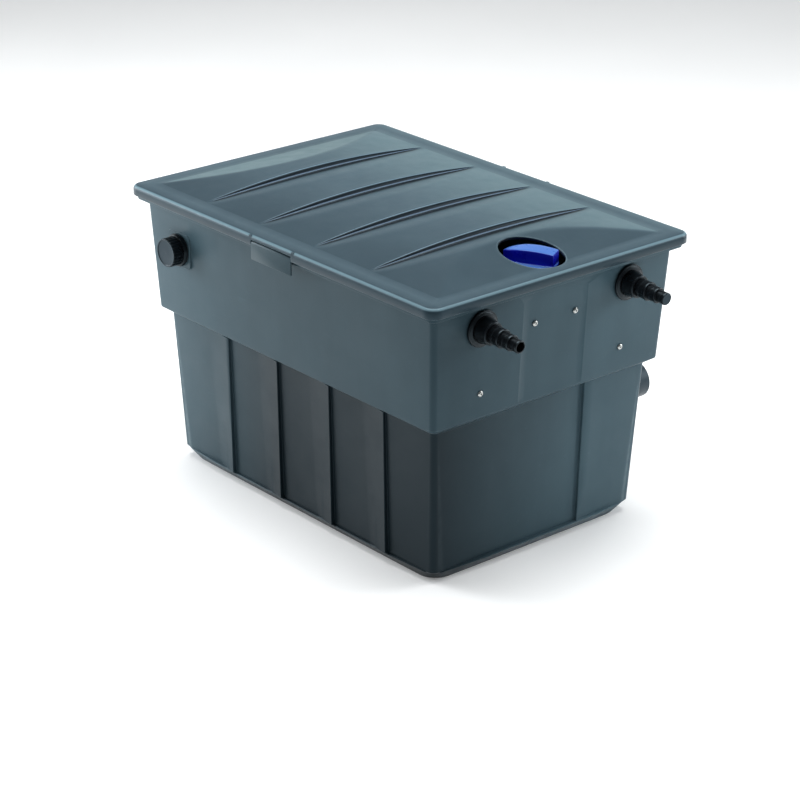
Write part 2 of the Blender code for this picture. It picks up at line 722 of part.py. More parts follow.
def make_sieve():
    """The sieve: a moulded cage with six windows, the fine sleeve inside it and the bush on top."""
    outer = SIEVE_R
    cage = tube("sieve_cage", outer - 0.004, outer, SIEVE_LOW_Z, SIEVE_TOP_Z, "black", upright(), 24)
    windows = 6
    for k in range(windows // 2):
        place = upright() @ Matrix.Rotation(math.pi * k / (windows // 2), 4, "Z")
        for z in (0.364, 0.428):
            cut(cage, box("window", (-0.07, -0.018, z), (0.07, 0.018, z + 0.054), matrix=place))
    join(cage, rod("floor", outer - 0.001, SIEVE_LOW_Z, SIEVE_LOW_Z + 0.004, matrix=upright(), segments=24))
    outfall = Matrix.Translation((DRAIN[0] + 0.006, 0, 0))
    cut(cage, rod("outfall", 0.028, SIEVE_LOW_Z - 0.01, SIEVE_LOW_Z + 0.01, matrix=outfall))
    sleeve_top = SIEVE_TOP_Z - 0.012
    inner = outer - 0.004 - GAP
    sleeve_low = SIEVE_LOW_Z + 0.0045
    tube("sieve_sleeve", inner - 0.0012, inner, sleeve_low, sleeve_top, "steel", upright(), 24)
    low = SIEVE_TOP_Z + GAP
    tube("bearing_bush", 0.0064, 0.0140, low, SIEVE_TOP_Z + 0.020, "grey", upright(), 24)
    bridge = tube("sieve_top_ring", 0.0143, outer, low, SIEVE_TOP_Z + 0.006, "black", upright(), 24)
    for k in range(4):
        place = upright() @ Matrix.Rotation(math.pi / 2 * k + math.pi / 4, 4, "Z")
        cut(bridge, box("window", (0.021, -0.012, 0.51), (0.044, 0.012, 0.54), matrix=place))


def make_sump_elbow():
    """The cup under the sieve and the pipe that leads from it towards the drain."""
    cup_low = DRAIN[1] - DRAIN_R - 0.004
    cup_top = SIEVE_LOW_Z - GAP
    stand = Matrix.Translation((DRAIN[0], 0, 0))
    elbow = rod("sump_elbow", SUMP_R, cup_low, cup_top, "grey", stand, 28)
    pipe = facing((0, 1, 0), (DRAIN[0], 0, DRAIN[1]))
    join(elbow, rod("pipe", DRAIN_R, 0.0, 0.1497, matrix=pipe, segments=28))
    cut(elbow, rod("hollow", SUMP_R - 0.003, cup_low + 0.003, cup_top + 0.01, matrix=stand, segments=28))
    cut(elbow, rod("hollow", DRAIN_R - 0.003, 0.0, 0.17, matrix=pipe, segments=28))


def make_gate():
    """The gate valve between the sump and the drain stub: housing, blade, pull rod and handle."""
    x, z = DRAIN
    low, high = 0.150, 0.170
    housing = box("gate_housing", (x - 0.048, low, z - 0.050), (x + 0.048, high, z + 0.050), "grey")
    pipe = facing((0, 1, 0), (x, 0, z))
    cut(housing, rod("bore", DRAIN_R - 0.003, 0.14, 0.18, matrix=pipe, segments=28))
    slot = box("slot", (x - 0.0435, 0.1575, z - 0.0450), (x + 0.0435, 0.1625, z + 0.07))
    cut(housing, slot)
    box("gate_blade", (x - 0.0430, 0.1580, z - 0.0445), (x + 0.0430, 0.1620, z + 0.0620), "black")
    place = Matrix.Translation((x, 0.160, 0))
    rod("gate_pull_rod", 0.0045, z + 0.0623, 0.480, "steel", place, 16)
    box("gate_handle", (-0.030, -0.007, 0.4803), (0.030, 0.007, 0.500), "blue", place)
    socket = (DRAIN_R + GAP, DRAIN_R + 0.004, high - 0.0005, high + 0.0090)
    join(housing, tube("socket", *socket, matrix=pipe, segments=28))
    tube("drain_pipe", DRAIN_R - 0.003, DRAIN_R, high + GAP, drain_seat_y() - 0.0303, "grey", pipe, 28)


def grip_place():
    return upright() @ Matrix.Rotation(math.radians(GRIP_TURN), 4, "Z")


def make_grip():
    """The rotary grip: a dished disc with a broad bar that comes to a point at one end."""
    place = grip_place()
    profile = [(0.0125, GRIP_DISC_Z - 0.0310), (0.0125, GRIP_DISC_Z - 0.0080), (0.0540, GRIP_DISC_Z - 0.0045)]
    profile += [(0.0555, GRIP_DISC_Z - 0.0030), (0.0545, GRIP_DISC_Z - 0.0010), (0.0500, GRIP_DISC_Z)]
    grip = turned("rotary_grip", profile + [(0.0100, GRIP_DISC_Z + 0.0015)], "blue", place, 36, ring=False)
    join(grip, grip_bar(place))
    cut(grip, rod("bore", 0.0063, GRIP_DISC_Z - 0.05, GRIP_DISC_Z - 0.006, matrix=place, segments=16))
    return smooth(grip, 28)


def grip_bar(place):
    """The grip's bar, from its point to its wide, squared end: (along, half width, top) at each station."""
    rings = []
    for along, half, top in GRIP_BAR:
        low = GRIP_DISC_Z - 0.0020
        ring = [(along, -half, low), (along, half, low), (along, half * 0.97, top - 0.0015)]
        ring += [(along, half * 0.90, top), (along, -half * 0.90, top), (along, -half * 0.97, top - 0.0015)]
        rings.append(ring)
    return loft("bar", rings, matrix=place)


def make_brush():
    """The sieve's cleaner: shaft, arms with a holder, and a bristle strip against the sleeve."""
    place = grip_place()
    rod("brush_shaft", 0.0060, SIEVE_LOW_Z + 0.006, GRIP_DISC_Z - 0.0063, "steel", place, 16)
    reach = 0.036
    low = SIEVE_LOW_Z + 0.010
    top = SIEVE_TOP_Z - 0.016
    holder = tube("brush_holder", 0.0062, 0.0100, low, top, "black", place, 16)
    for z in (low + 0.010, SIEVE_TOP_Z - 0.036):
        join(holder, box("arm", (0.0080, -0.003, z), (reach, 0.003, z + 0.008), matrix=place))
    join(holder, box("spine", (reach - 0.006, -0.0045, low), (reach, 0.0045, top), matrix=place))
    bristle_low = low + 0.002
    box("bristle_strip", (reach + GAP, -0.003, bristle_low), (0.0450, 0.003, 0.500), "blue", place)


# Chambers and foam


def wall_half_width(z):
    """Half the free width inside the tub at a height, less a little room."""
    room = WALL + 0.0045
    if z <= LEDGE_LOW_Z:
        share = max(0.0, (z - FOOT_Z) / (LEDGE_LOW_Z - FOOT_Z))
        return mix(LOWER_BOTTOM_HALF[1], LOWER_TOP_HALF[1], share) - room
    return band_out(BAND_BOTTOM_HALF[1], BAND_TOP_HALF[1], max(z, LEDGE_HIGH_Z + 0.008)) - room


def cross_wall(name, x, low, high, thickness=0.005):
    """A wall across the tub that follows its sides."""
    heights = [z for z in (low, LEDGE_LOW_Z, LEDGE_HIGH_Z + 0.008, high) if low <= z <= high]
    side = [(wall_half_width(z), z) for z in sorted(set(heights))]
    points = side + [(-y, z) for y, z in reversed(side)]
    place = Matrix(((0, 0, 1, x), (1, 0, 0, 0), (0, 1, 0, 0), (0, 0, 0, 1)))
    return plate(name, points, -thickness / 2, thickness / 2, "shell", place)


def make_walls():
    partition = cross_wall("inlet_partition", INLET_WALL_X, 0.030, 0.500)
    for k in (-1, 0, 1):
        y = k * 0.150
        low = (INLET_WALL_X - 0.01, y - 0.050, 0.036)
        cut(partition, box("window", low, (INLET_WALL_X + 0.01, y + 0.050, 0.064)))
    cross_wall("outlet_weir", WEIR_X, 0.110, 0.455)


def make_support_grid():
    """The grid that carries the foam, on two long rails that stand on the tub's floor."""
    low_x, high_x = -0.290, 0.262
    grid = box("support_grid", (low_x, -0.244, 0.066), (high_x, 0.244, 0.076), "black")
    for y in (-0.200, 0.200):
        join(grid, box("rail", (low_x, y - 0.006, WALL + GAP), (high_x, y + 0.006, 0.067)))
    count = 9
    pitch = (high_x - low_x) / count
    for k in range(count):
        x = low_x + (k + 0.5) * pitch
        for y0, y1 in ((-0.185, -0.010), (0.010, 0.185)):
            cut(grid, box("slot", (x - 0.019, y0, 0.05), (x + 0.019, y1, 0.09)))


def make_cassette(label, x):
    """A foam cassette: base plate, two rods and a handle in one frame, with its pads on the rods."""
    half_x, half_y = PAD_SIZE[0] / 2, PAD_SIZE[1] / 2
    base = PAD_FIRST_Z - 0.0015
    top = PAD_FIRST_Z + 4 * PAD_PITCH + 0.020
    place = Matrix.Translation((x, 0, 0))
    frame = box(f"cassette_frame_{label}", (-half_x, -half_y, 0.0765), (half_x, half_y, base), "black", place)
    for k in (-1, 0, 1):
        for y0, y1 in ((-0.105, -0.012), (0.012, 0.105)):
            slot = box("slot", (k * 0.075 - 0.024, y0, 0.05), (k * 0.075 + 0.024, y1, 0.1), matrix=place)
            cut(frame, slot)
    for side in (-1, 1):
        stand = Matrix.Translation((x, side * ROD_Y, 0))
        join(frame, rod("rod", 0.0090, base - 0.003, top + 0.004, matrix=stand, segments=16))
    end = ROD_Y + 0.020
    join(frame, box("handle", (-0.013, -end, top), (0.013, end, top + 0.018), matrix=place))
    for level in range(4):
        make_pad(f"foam_{label}_{level + 1}", x, PAD_FIRST_Z + level * PAD_PITCH, level)


def make_pad(name, x, z, level):
    half_x, half_y = PAD_SIZE[0] / 2 - 0.001, PAD_SIZE[1] / 2 - 0.001
    slot = "foam_red" if level == 3 else "foam_blue"
    place = Matrix.Translation((x, 0, z))
    pad = box(name, (-half_x, -half_y, 0.0), (half_x, half_y, PAD_SIZE[2]), slot, place)
    for side in (-1, 1):
        stand = Matrix.Translation((x, side * ROD_Y, z))
        cut(pad, rod("hole", 0.0110, -0.01, 0.1, matrix=stand, segments=16))


def main():
    clear_scene()
    smooth(make_tub(), 25)
    make_lid()
    for name, side in (("front", -1), ("rear", 1)):
        make_flap(f"lid_flap_{name}", side)
        make_flap_pin(f"flap_pin_{name}", side)
    for label, side in (("left", -1), ("right", 1)):
        make_inlet(side, label)
    for number, (y, z) in enumerate(screw_places(), 1):
        make_wall_screw(number, y, z)
    make_port()
    make_drain()
    make_outlet()
    make_screen_carrier()
    make_sieve()
    make_sump_elbow()
    make_gate()
    make_grip()
    make_brush()
    make_walls()
    make_support_grid()
    for label, x in CASSETTES.items():
        make_cassette(label, x)


main()
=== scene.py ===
"""Looks of a flow-through pond filter box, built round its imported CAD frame. Metres, +Z up."""

import json
import math

import bmesh
import bpy
from mathutils import Matrix, Vector, noise


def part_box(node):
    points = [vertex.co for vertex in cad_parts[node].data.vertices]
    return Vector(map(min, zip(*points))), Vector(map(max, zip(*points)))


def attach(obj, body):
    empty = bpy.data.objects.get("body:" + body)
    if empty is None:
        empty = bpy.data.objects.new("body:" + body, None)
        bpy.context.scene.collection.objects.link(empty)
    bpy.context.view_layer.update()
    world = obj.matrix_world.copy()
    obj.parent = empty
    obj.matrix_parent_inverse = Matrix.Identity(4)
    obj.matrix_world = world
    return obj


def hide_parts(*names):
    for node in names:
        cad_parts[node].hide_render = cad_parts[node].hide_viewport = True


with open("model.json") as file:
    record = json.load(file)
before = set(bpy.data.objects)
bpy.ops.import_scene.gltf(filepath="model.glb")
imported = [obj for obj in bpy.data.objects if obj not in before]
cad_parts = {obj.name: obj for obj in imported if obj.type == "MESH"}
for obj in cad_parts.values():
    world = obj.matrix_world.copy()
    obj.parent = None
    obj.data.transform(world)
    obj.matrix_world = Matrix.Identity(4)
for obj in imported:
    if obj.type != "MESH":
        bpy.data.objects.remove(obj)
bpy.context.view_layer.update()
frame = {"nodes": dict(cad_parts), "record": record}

# Tub: heights and half sizes along X and Y
WALL = 0.005
FOOT_Z = 0.024
LEDGE_LOW_Z = 0.328
LEDGE_HIGH_Z = 0.341
COLLAR_LOW_Z = 0.5765
COLLAR_SHELF_Z = 0.5805
RIM_Z = 0.5855
UNDERSIDE_HALF = (0.392, 0.256)
FOOT_HALF = (0.405, 0.269)
LOWER_BOTTOM_HALF = (0.403, 0.267)
LOWER_TOP_HALF = (0.418, 0.282)
BAND_BOTTOM_HALF = (0.436, 0.300)
BAND_TOP_HALF = (0.449, 0.313)
COLLAR_HALF = (0.466, 0.330)
WALL_CORNER = 0.012
FOOT_CORNER = 0.040
CORNER_STEPS = 8

# Stepped panels of the lower wall
LONG_STEPS = (-0.216, -0.055, 0.109, 0.275)
SHORT_STEP = 0.112
SHORT_CREASE = -0.108
PANEL_RAMP = (0.060, 0.074)  # at the foot, at the ledge
PANEL_PROUD = (0.012, 0.003)
PANEL_SUNK = (0.003, -0.003)
BAND_PANEL_HALF = 0.084

# Lid
LID_HALF = (0.475, 0.339)
LID_CORNER = 0.025
LID_LOW_Z = 0.5860
LID_BORDER_Z = 0.607
LID_EDGE_R = 0.009
LID_SKIN = 0.004
LID_FLANGE = 0.0115
FIELD_HALF = (0.433, 0.287)
CROWN = 0.018
FRONT_SLOPE = 0.13
REAR_SLOPE = 0.18
RIDGES = (-0.275, -0.104, 0.067, 0.238)
RIDGE_DEPTH = 0.0090
RIDGE_WIDTH = 0.0145
RIDGE_LENGTH = 0.286
RIDGE_END_WIDTH = 0.30  # share of the width left at a ridge's ends
RIDGE_FADE = 0.85
OPENING = (0.375, 0.0)
OPENING_HALF = (0.0725, 0.0605)
FLAP_WIDTH = 0.124
FLAP_GAP = 0.0012  # at each end of a flap, in its notch
LUG_REACH = 0.008  # from a flap's end over the lug that holds its pin
PIN_HOLE_R = 0.0018

# Fittings and grip
INLET_Y = 0.192
INLET_Z = 0.530
INLET_BODY_R = 0.0205
TAIL_STEPS = ((0.0190, 0.0265), (0.0160, 0.0240), (0.0128, 0.0205))  # radius and length of each
SCREWS = ((0.053, 0.504), (0.185, 0.393))  # y and z, mirrored
SCREW_HOLE_R = 0.0033
SOCKET_R = 0.0037 / math.sqrt(3)  # to the corners of the hex socket
SEAT_GAP = 0.0003  # between a seal and the seat under it
PORT_SEAT_HALF = 0.037
PORT_HOLE_R = 0.0235
PORT_CAP_R = 0.0303
DRAIN_R = 0.0375
DRAIN_SEAT = (0.049, 0.0130)  # radius, and depth into the wall
DRAIN_END = 0.0455
OUTLET_R = 0.055
OUTLET_SEAT = (0.070, 0.0145)
OUTLET_END = 0.0285
GRIP_X = 0.371
GRIP_TURN = math.radians(28.5)
GRIP_DISC_Z = 0.597
GRIP_BAR = (  # distance along, half width and top at each station
    (-0.0535, 0.0015, 0.6120), (-0.0460, 0.0078, 0.6160), (-0.0340, 0.0138, 0.6195),
    (-0.0170, 0.0187, 0.6226), (0.0020, 0.0205, 0.6240), (0.0220, 0.0205, 0.6236),
    (0.0400, 0.0196, 0.6220), (0.0505, 0.0188, 0.6204),
)
SEGMENTS = 72

# One ridge across the lid: (distance over its width, depth over its depth)
RIDGE_SHAPE = (
    (-1.2, 0.0), (-0.7, -0.02), (-0.4, -0.04), (-0.2, 0.0), (-0.06, 0.10), (0.04, 0.26), (0.14, 0.60),
    (0.24, 0.88), (0.34, 1.0), (0.46, 1.0), (0.54, 0.92), (0.60, 0.72), (0.66, 0.62), (0.72, 0.66),
    (0.80, 0.80), (0.92, 0.86), (1.2, 0.84), (1.6, 0.76), (2.1, 0.62), (2.7, 0.42), (3.4, 0.20), (4.2, 0.05),
    (4.9, 0.0),
)


# Node materials


class Graph:
    """A short way to write a material's nodes."""

    def __init__(self, name):
        self.material = bpy.data.materials.new(name)
        self.material.use_nodes = True
        self.tree = self.material.node_tree
        self.shader = self.tree.nodes["Principled BSDF"]
        self.place = self.add("ShaderNodeTexCoord").outputs["Object"]

    def add(self, kind, settings=None, **inputs):
        node = self.tree.nodes.new(kind)
        for key, value in (settings or {}).items():
            setattr(node, key, value)
        for key, value in inputs.items():
            self.put(node.inputs[key.replace("_", " ")], value)
        return node

    def put(self, socket, value):
        if isinstance(value, bpy.types.NodeSocket):
            self.tree.links.new(value, socket)
        else:
            socket.default_value = value

    def noise(self, scale, detail=3.0, place=None, roughness=0.55):
        node = self.add("ShaderNodeTexNoise", Scale=scale, Detail=detail, Roughness=roughness)
        self.put(node.inputs["Vector"], place or self.place)
        return node.outputs["Fac"]

    def spread(self, value, low, high, out_low=0.0, out_high=1.0):
        """value mapped from low..high to out_low..out_high, and held there."""
        node = self.add("ShaderNodeMapRange")
        for index, number in enumerate((value, low, high, out_low, out_high)):
            self.put(node.inputs[index], number)
        return node.outputs["Result"]

    def maths(self, operation, *values):
        node = self.add("ShaderNodeMath", {"operation": operation})
        for socket, value in zip(node.inputs, values):
            self.put(socket, value)
        return node.outputs["Value"]

    def times(self, first, *others):
        for other in others:
            first = self.maths("MULTIPLY", first, other)
        return first

    def split(self, vector):
        return self.add("ShaderNodeSeparateXYZ", Vector=vector).outputs

    def normal(self):
        return self.add("ShaderNodeNewGeometry").outputs["Normal"]

    def blend(self, share, first, second):
        node = self.add("ShaderNodeMix", {"data_type": "RGBA"})
        for index, value in ((0, share), (6, first), (7, second)):  # the factor and the two colours
            self.put(node.inputs[index], value)
        return node.outputs[2]

    def stretched(self, x, y, z):
        node = self.add("ShaderNodeMapping", Vector=self.place)
        node.inputs["Scale"].default_value = (x, y, z)
        return node.outputs["Vector"]

    def edges(self, radius, gain):
        """1 on worn outer edges, 0 on faces: where a rounded normal leaves the real one."""
        rounded = self.add("ShaderNodeBevel", {"samples": 4}, Radius=radius).outputs["Normal"]
        dot = self.add("ShaderNodeVectorMath", {"operation": "DOT_PRODUCT"})
        self.put(dot.inputs[0], rounded)
        self.put(dot.inputs[1], self.normal())
        bent = self.maths("SUBTRACT", 1.0, dot.outputs["Value"])
        return self.maths("MINIMUM", self.times(bent, gain), 1.0)

    def bump(self, height, distance, strength=1.0, below=None):
        node = self.add("ShaderNodeBump", Height=height, Distance=distance, Strength=strength)
        if below is not None:
            self.put(node.inputs["Normal"], below)
        return node.outputs["Normal"]

    def finish(self, colour, roughness, normal=None, metallic=0.0, **constants):
        self.put(self.shader.inputs["Base Color"], colour)
        self.put(self.shader.inputs["Roughness"], roughness)
        self.shader.inputs["Metallic"].default_value = metallic
        if normal is not None:
            self.put(self.shader.inputs["Normal"], normal)
        for key, value in constants.items():
            self.shader.inputs[key.replace("_", " ")].default_value = value
        return self.material


def rgb(*colour):
    """An sRGB colour from 0 to 255 as a linear one."""
    shares = [value / 255 for value in colour]
    return (*(v / 12.92 if v <= 0.04045 else ((v + 0.055) / 1.055) ** 2.4 for v in shares), 1.0)


def corner_shade(g):
    """Painted shade: 1 low down on the walls by the corner between the port side and the inlet end, 0 away
    from it.
    """
    place = g.split(g.place)
    along = g.spread(place["X"], -0.44, -0.06)
    across = g.spread(place["Y"], 0.14, -0.26)
    low = g.spread(place["Z"], LEDGE_HIGH_Z, LEDGE_LOW_Z - 0.004, 0.38, 0.90)
    return g.times(g.maths("MINIMUM", along, across), low)


def ridge_place(g, place):
    """The nearest ridge's strength at this Y, and this point's distance across it, over its width."""
    pitch = RIDGES[1] - RIDGES[0]
    lead = 0.3  # share of the pitch that belongs to the ridge after it
    y = g.maths("DIVIDE", place["Y"], RIDGE_LENGTH)
    fade = g.maths("POWER", g.spread(g.times(y, y), 0.0, 1.0, 1.0, 0.0), RIDGE_FADE)
    width = g.spread(fade, 0.0, 1.0, RIDGE_END_WIDTH * RIDGE_WIDTH, RIDGE_WIDTH)
    turns = g.maths("DIVIDE", g.maths("SUBTRACT", place["X"], RIDGES[0]), pitch)
    away = g.maths("SUBTRACT", g.maths("FRACT", g.maths("ADD", turns, lead)), lead)
    across = g.maths("DIVIDE", g.times(away, pitch), width)
    inside = g.times(g.spread(turns, -0.29, -0.28), g.spread(turns, 3.69, 3.68))
    return g.times(g.spread(fade, 0.0, 0.25), inside), across


def lid_painted_light(g, colour):
    """Painted light on the lid: facets painted paler towards the back, a painted shadow in each ridge with
    painted highlights on its edges, painted shade on the skirt and a painted highlight along the rim.
    """
    normal = g.split(g.normal())
    place = g.split(g.place)
    height = place["Z"]
    facing_end = g.maths("MAXIMUM", normal["X"], -0.03)
    # Painted light: faces that lean towards the back are painted paler, those that face the grip end or the
    # front darker.
    lean = g.maths("ADD", g.times(facing_end, -0.40), g.times(normal["Y"], 0.70))
    colour = g.blend(g.spread(lean, 0.0, -0.07, 0.0, 0.50), colour, rgb(30, 42, 50))
    colour = g.blend(g.spread(lean, 0.0, 0.08, 0.0, 0.60), colour, rgb(84, 108, 114))
    # Painted light: the sloping rear end of the field is painted paler, as if lit.
    rear = g.times(g.spread(normal["X"], -0.09, -0.16), g.spread(place["X"], -0.33, -0.34))
    rear = g.times(rear, g.spread(height, LID_BORDER_Z, LID_BORDER_Z + 0.0006), 0.50)
    colour = g.blend(rear, colour, rgb(92, 115, 118))
    share, across = ridge_place(g, place)
    share = g.times(share, g.spread(height, LID_BORDER_Z, LID_BORDER_Z + 0.001))

    def band(start, full, last, end, amount):
        return g.times(g.spread(across, start, full), g.spread(across, end, last), share, amount)

    # Painted shadow in each ridge, then painted highlights on its top edge and on its small bead.
    colour = g.blend(band(-0.16, -0.08, 1.15, 1.9, 0.97), colour, rgb(1, 6, 14))
    colour = g.blend(band(-0.36, -0.28, -0.22, -0.14, 0.60), colour, rgb(122, 148, 164))
    colour = g.blend(band(0.16, 0.20, 0.26, 0.30, 0.75), colour, rgb(104, 124, 146))
    below = g.spread(height, LID_BORDER_Z, LID_BORDER_Z - 0.0003)
    # Painted shade on the lid's upright skirt, below the border.
    skirt = g.times(g.spread(g.maths("ABSOLUTE", normal["Z"]), 0.45, 0.25, 0.0, 0.40), below)
    colour = g.blend(skirt, colour, rgb(36, 50, 58))
    # Painted highlight along the rounded rim.
    rim = g.times(g.spread(normal["Z"], 0.45, 0.66), g.spread(normal["Z"], 0.975, 0.88), below, 0.70)
    return g.blend(rim, colour, rgb(106, 132, 142))


def plastic(name, dark, light, roughness=(0.36, 0.5), grain=1500.0, relief=0.00006, wear=None, specular=0.5,
            shade=None, top_sheen=None, faces=None, wear_and_highlight_gain=5.0):
    """Moulded plastic: slow tone changes, flow streaks, fine grain, small scuffs and rubbed edges, with
    painted light and shade where a material asks for it.
    """
    g = Graph(name)
    tone = g.times(g.noise(5.0, 4.0), 0.65)
    streaks = g.times(g.noise(14.0, 3.0, g.stretched(1.0, 1.0, 0.12)), 0.35)
    colour = g.blend(g.spread(g.maths("ADD", tone, streaks), 0.35, 0.65), dark, light)
    scuffs = g.spread(g.noise(60.0, 6.0, g.stretched(0.35, 1.0, 1.0), 0.7), 0.60, 0.78, 0.0, 0.35)
    colour = g.blend(scuffs, colour, tuple(min(1.0, value * 1.35 + 0.004) for value in light[:3]) + (1.0,))
    # Painted light on a material's faces, such as the lid's.
    if faces:
        colour = faces(g, colour)
    if wear:
        patches = g.spread(g.noise(38.0, 4.0), 0.35, 0.65, 0.35, 1.0)
        # Rubbed edges: real wear, and on the lid also painted highlights on the ridge and rim edges.
        colour = g.blend(g.times(g.edges(0.0016, wear_and_highlight_gain), patches, 0.55), colour, wear)
    if shade:
        # Painted shade: darkens the colour towards near-black where the shade mask is high.
        colour = g.blend(shade(g), colour, rgb(7, 14, 19))
    # Painted highlight: faces that face upwards are painted paler, as light from above.
    if top_sheen:
        colour = g.blend(g.spread(g.split(g.normal())["Z"], 0.55, 0.97), colour, top_sheen)
    rough = g.spread(g.maths("ADD", g.noise(24.0, 4.0), g.times(scuffs, -0.4)), 0.3, 0.7, *roughness)
    normal = g.bump(g.noise(grain, 2.0), relief, 0.8, g.bump(g.noise(9.0, 2.0), 0.0006, 0.5))
    return g.finish(colour, rough, normal, Specular_IOR_Level=specular, Specular_Tint=(0.62, 0.86, 1.0, 1.0))


def steel(name, turned_about_x=False):
    """Bright stainless steel with fine drawn lines and a little handling dulling."""
    g = Graph(name)
    lines = g.noise(260.0, 4.0, g.stretched(9.0, 1.0, 1.0) if turned_about_x else g.stretched(4.0, 4.0, 0.15))
    colour = g.blend(g.spread(lines, 0.3, 0.7), rgb(150, 153, 152), rgb(204, 205, 202))
    rough = g.spread(g.noise(90.0, 4.0), 0.3, 0.7, 0.20, 0.38)
    return g.finish(colour, rough, g.bump(lines, 0.00003), 1.0)


def rubber(name):
    g = Graph(name)
    share = g.spread(g.noise(40.0, 5.0), 0.35, 0.7)
    colour = g.blend(share, rgb(14, 15, 16), rgb(30, 31, 32))
    return g.finish(colour, g.spread(g.noise(70.0), 0.3, 0.7, 0.62, 0.85), g.bump(g.noise(1100.0), 0.00008))


def foam(name, pore_shade, pale):
    """Open-cell filter foam: dark pores between pale strands, with darker silt in patches."""
    g = Graph(name)
    cells = g.add("ShaderNodeTexVoronoi", {"feature": "DISTANCE_TO_EDGE"}, Scale=260.0)
    g.put(cells.inputs["Vector"], g.place)
    walls = g.spread(cells.outputs["Distance"], 0.02, 0.30)
    fine = g.noise(620.0, 4.0)
    depth = g.maths("ADD", g.times(walls, 0.7), g.times(fine, 0.3))
    # Painted shade: the pores between the strands are painted dark.
    colour = g.blend(g.spread(depth, 0.15, 0.75), pale, pore_shade)
    silt = g.spread(g.noise(7.0, 5.0), 0.5, 0.8, 0.0, 0.35)
    colour = g.blend(silt, colour, rgb(46, 44, 34))
    normal = g.bump(depth, 0.0012, 0.9, g.bump(g.noise(45.0, 3.0), 0.002, 0.5))
    rough = g.spread(fine, 0.3, 0.7, 0.82, 1.0)
    return g.finish(colour, rough, normal, Specular_IOR_Level=0.2, Sheen_Weight=0.25)


def wedge_wire(name):
    """Sieve sheet: fine upright wires round the sieve's axis, with the slots between them painted near-black
    as shade.
    """
    g = Graph(name)
    place = g.split(g.place)
    angle = g.maths("ARCTAN2", place["Y"], g.maths("SUBTRACT", place["X"], GRIP_X))
    wave = g.maths("SINE", g.times(angle, 190.0))
    hoop = g.maths("SINE", g.times(place["Z"], 420.0))
    wires = g.spread(wave, -0.25, 0.25)
    hoops = g.spread(hoop, 0.86, 0.94)
    solid = g.maths("MAXIMUM", wires, hoops)
    # Painted shade: the slots between the wires are near-black.
    colour = g.blend(solid, rgb(10, 10, 11), rgb(196, 197, 194))
    rough = g.spread(solid, 0.0, 1.0, 0.7, 0.28)
    return g.finish(colour, rough, g.bump(solid, 0.0005), 0.9)


def bristles(name):
    g = Graph(name)
    hair = g.noise(900.0, 2.0, g.stretched(1.0, 1.0, 0.2))
    colour = g.blend(g.spread(hair, 0.3, 0.7), rgb(16, 34, 120), rgb(44, 84, 196))
    return g.finish(colour, g.spread(hair, 0.3, 0.7, 0.35, 0.6), g.bump(hair, 0.0004))


def make_materials():
    shell_wear = rgb(122, 140, 148)
    return {
        "shell": plastic(
            "shell", rgb(46, 63, 70), rgb(53, 70, 77), (0.34, 0.44), 1700.0, 0.00004, shell_wear, 0.16
        ),
        "lid": plastic(
            "lid_shell", rgb(52, 69, 78), rgb(58, 76, 85), (0.28, 0.37), 1700.0, 0.00003,
            # The lid's rubbed edges are paler and stronger: real wear plus painted highlight on its edges.
            rgb(128, 152, 164), 0.19, faces=lid_painted_light, wear_and_highlight_gain=9.0
        ),
        "tub": plastic(
            "tub_shell", rgb(58, 78, 87), rgb(66, 87, 96), (0.34, 0.44), wear=shell_wear, specular=0.16,
            shade=corner_shade
        ),
        "inner": plastic("inner_shell", rgb(58, 70, 77), rgb(70, 84, 91), (0.42, 0.55), wear=shell_wear),
        "black": plastic(
            "black_plastic", rgb(8, 9, 11), rgb(14, 16, 19), (0.24, 0.36), 2200.0, 0.00004,
            rgb(58, 64, 70), 0.24
        ),
        # Painted light: the end faces of black fittings are painted this grey, as the light falling on them.
        "cap": plastic(
            "lit_end_grey", rgb(36, 48, 56), rgb(44, 57, 65), (0.40, 0.54), 1800.0, 0.00005,
            rgb(90, 100, 106), 0.14
        ),
        "grey": plastic(
            "pipe_grey", rgb(38, 49, 57), rgb(48, 60, 68), (0.36, 0.48), 1900.0, 0.00004,
            rgb(96, 106, 114), 0.2
        ),
        "blue": plastic(
            "grip_blue", rgb(6, 10, 140), rgb(12, 18, 164), (0.24, 0.36), 2400.0, 0.00003,
            # Painted highlight: the grip's upward faces are paler blue.
            rgb(96, 126, 236), 0.3, top_sheen=rgb(58, 96, 164)
        ),
        "steel": steel("stainless"),
        "screw": steel("screw_steel", True),
        "rubber": rubber("seal_rubber"),
        "foam_blue": foam("foam_blue", rgb(18, 34, 84), rgb(62, 100, 178)),
        "foam_red": foam("foam_red", rgb(84, 18, 16), rgb(172, 62, 52)),
        "sieve": wedge_wire("sieve_wire"),
        "bristles": bristles("bristle_hair"),
    }


# Mesh building


def mm(*points):
    """Points given in millimetres, in metres."""
    return [tuple(value / 1000 for value in point) for point in points]


def linked(name, data):
    item = bpy.data.objects.new(name, data)
    bpy.context.scene.collection.objects.link(item)
    return item


def new_piece(name, points, faces, matrix=None):
    mesh = bpy.data.meshes.new(name)
    mesh.from_pydata([tuple(point) for point in points], [], faces)
    if matrix is not None:
        mesh.transform(matrix)
    return clean(linked(name, mesh))


def clean(piece):
    """Merges doubled points and turns faces outwards."""
    work = bmesh.new()
    work.from_mesh(piece.data)
    bmesh.ops.remove_doubles(work, verts=work.verts, dist=2e-6)
    bmesh.ops.dissolve_degenerate(work, edges=work.edges, dist=1e-7)
    bmesh.ops.recalc_face_normals(work, faces=work.faces)
    work.to_mesh(piece.data)
    work.free()
    return piece


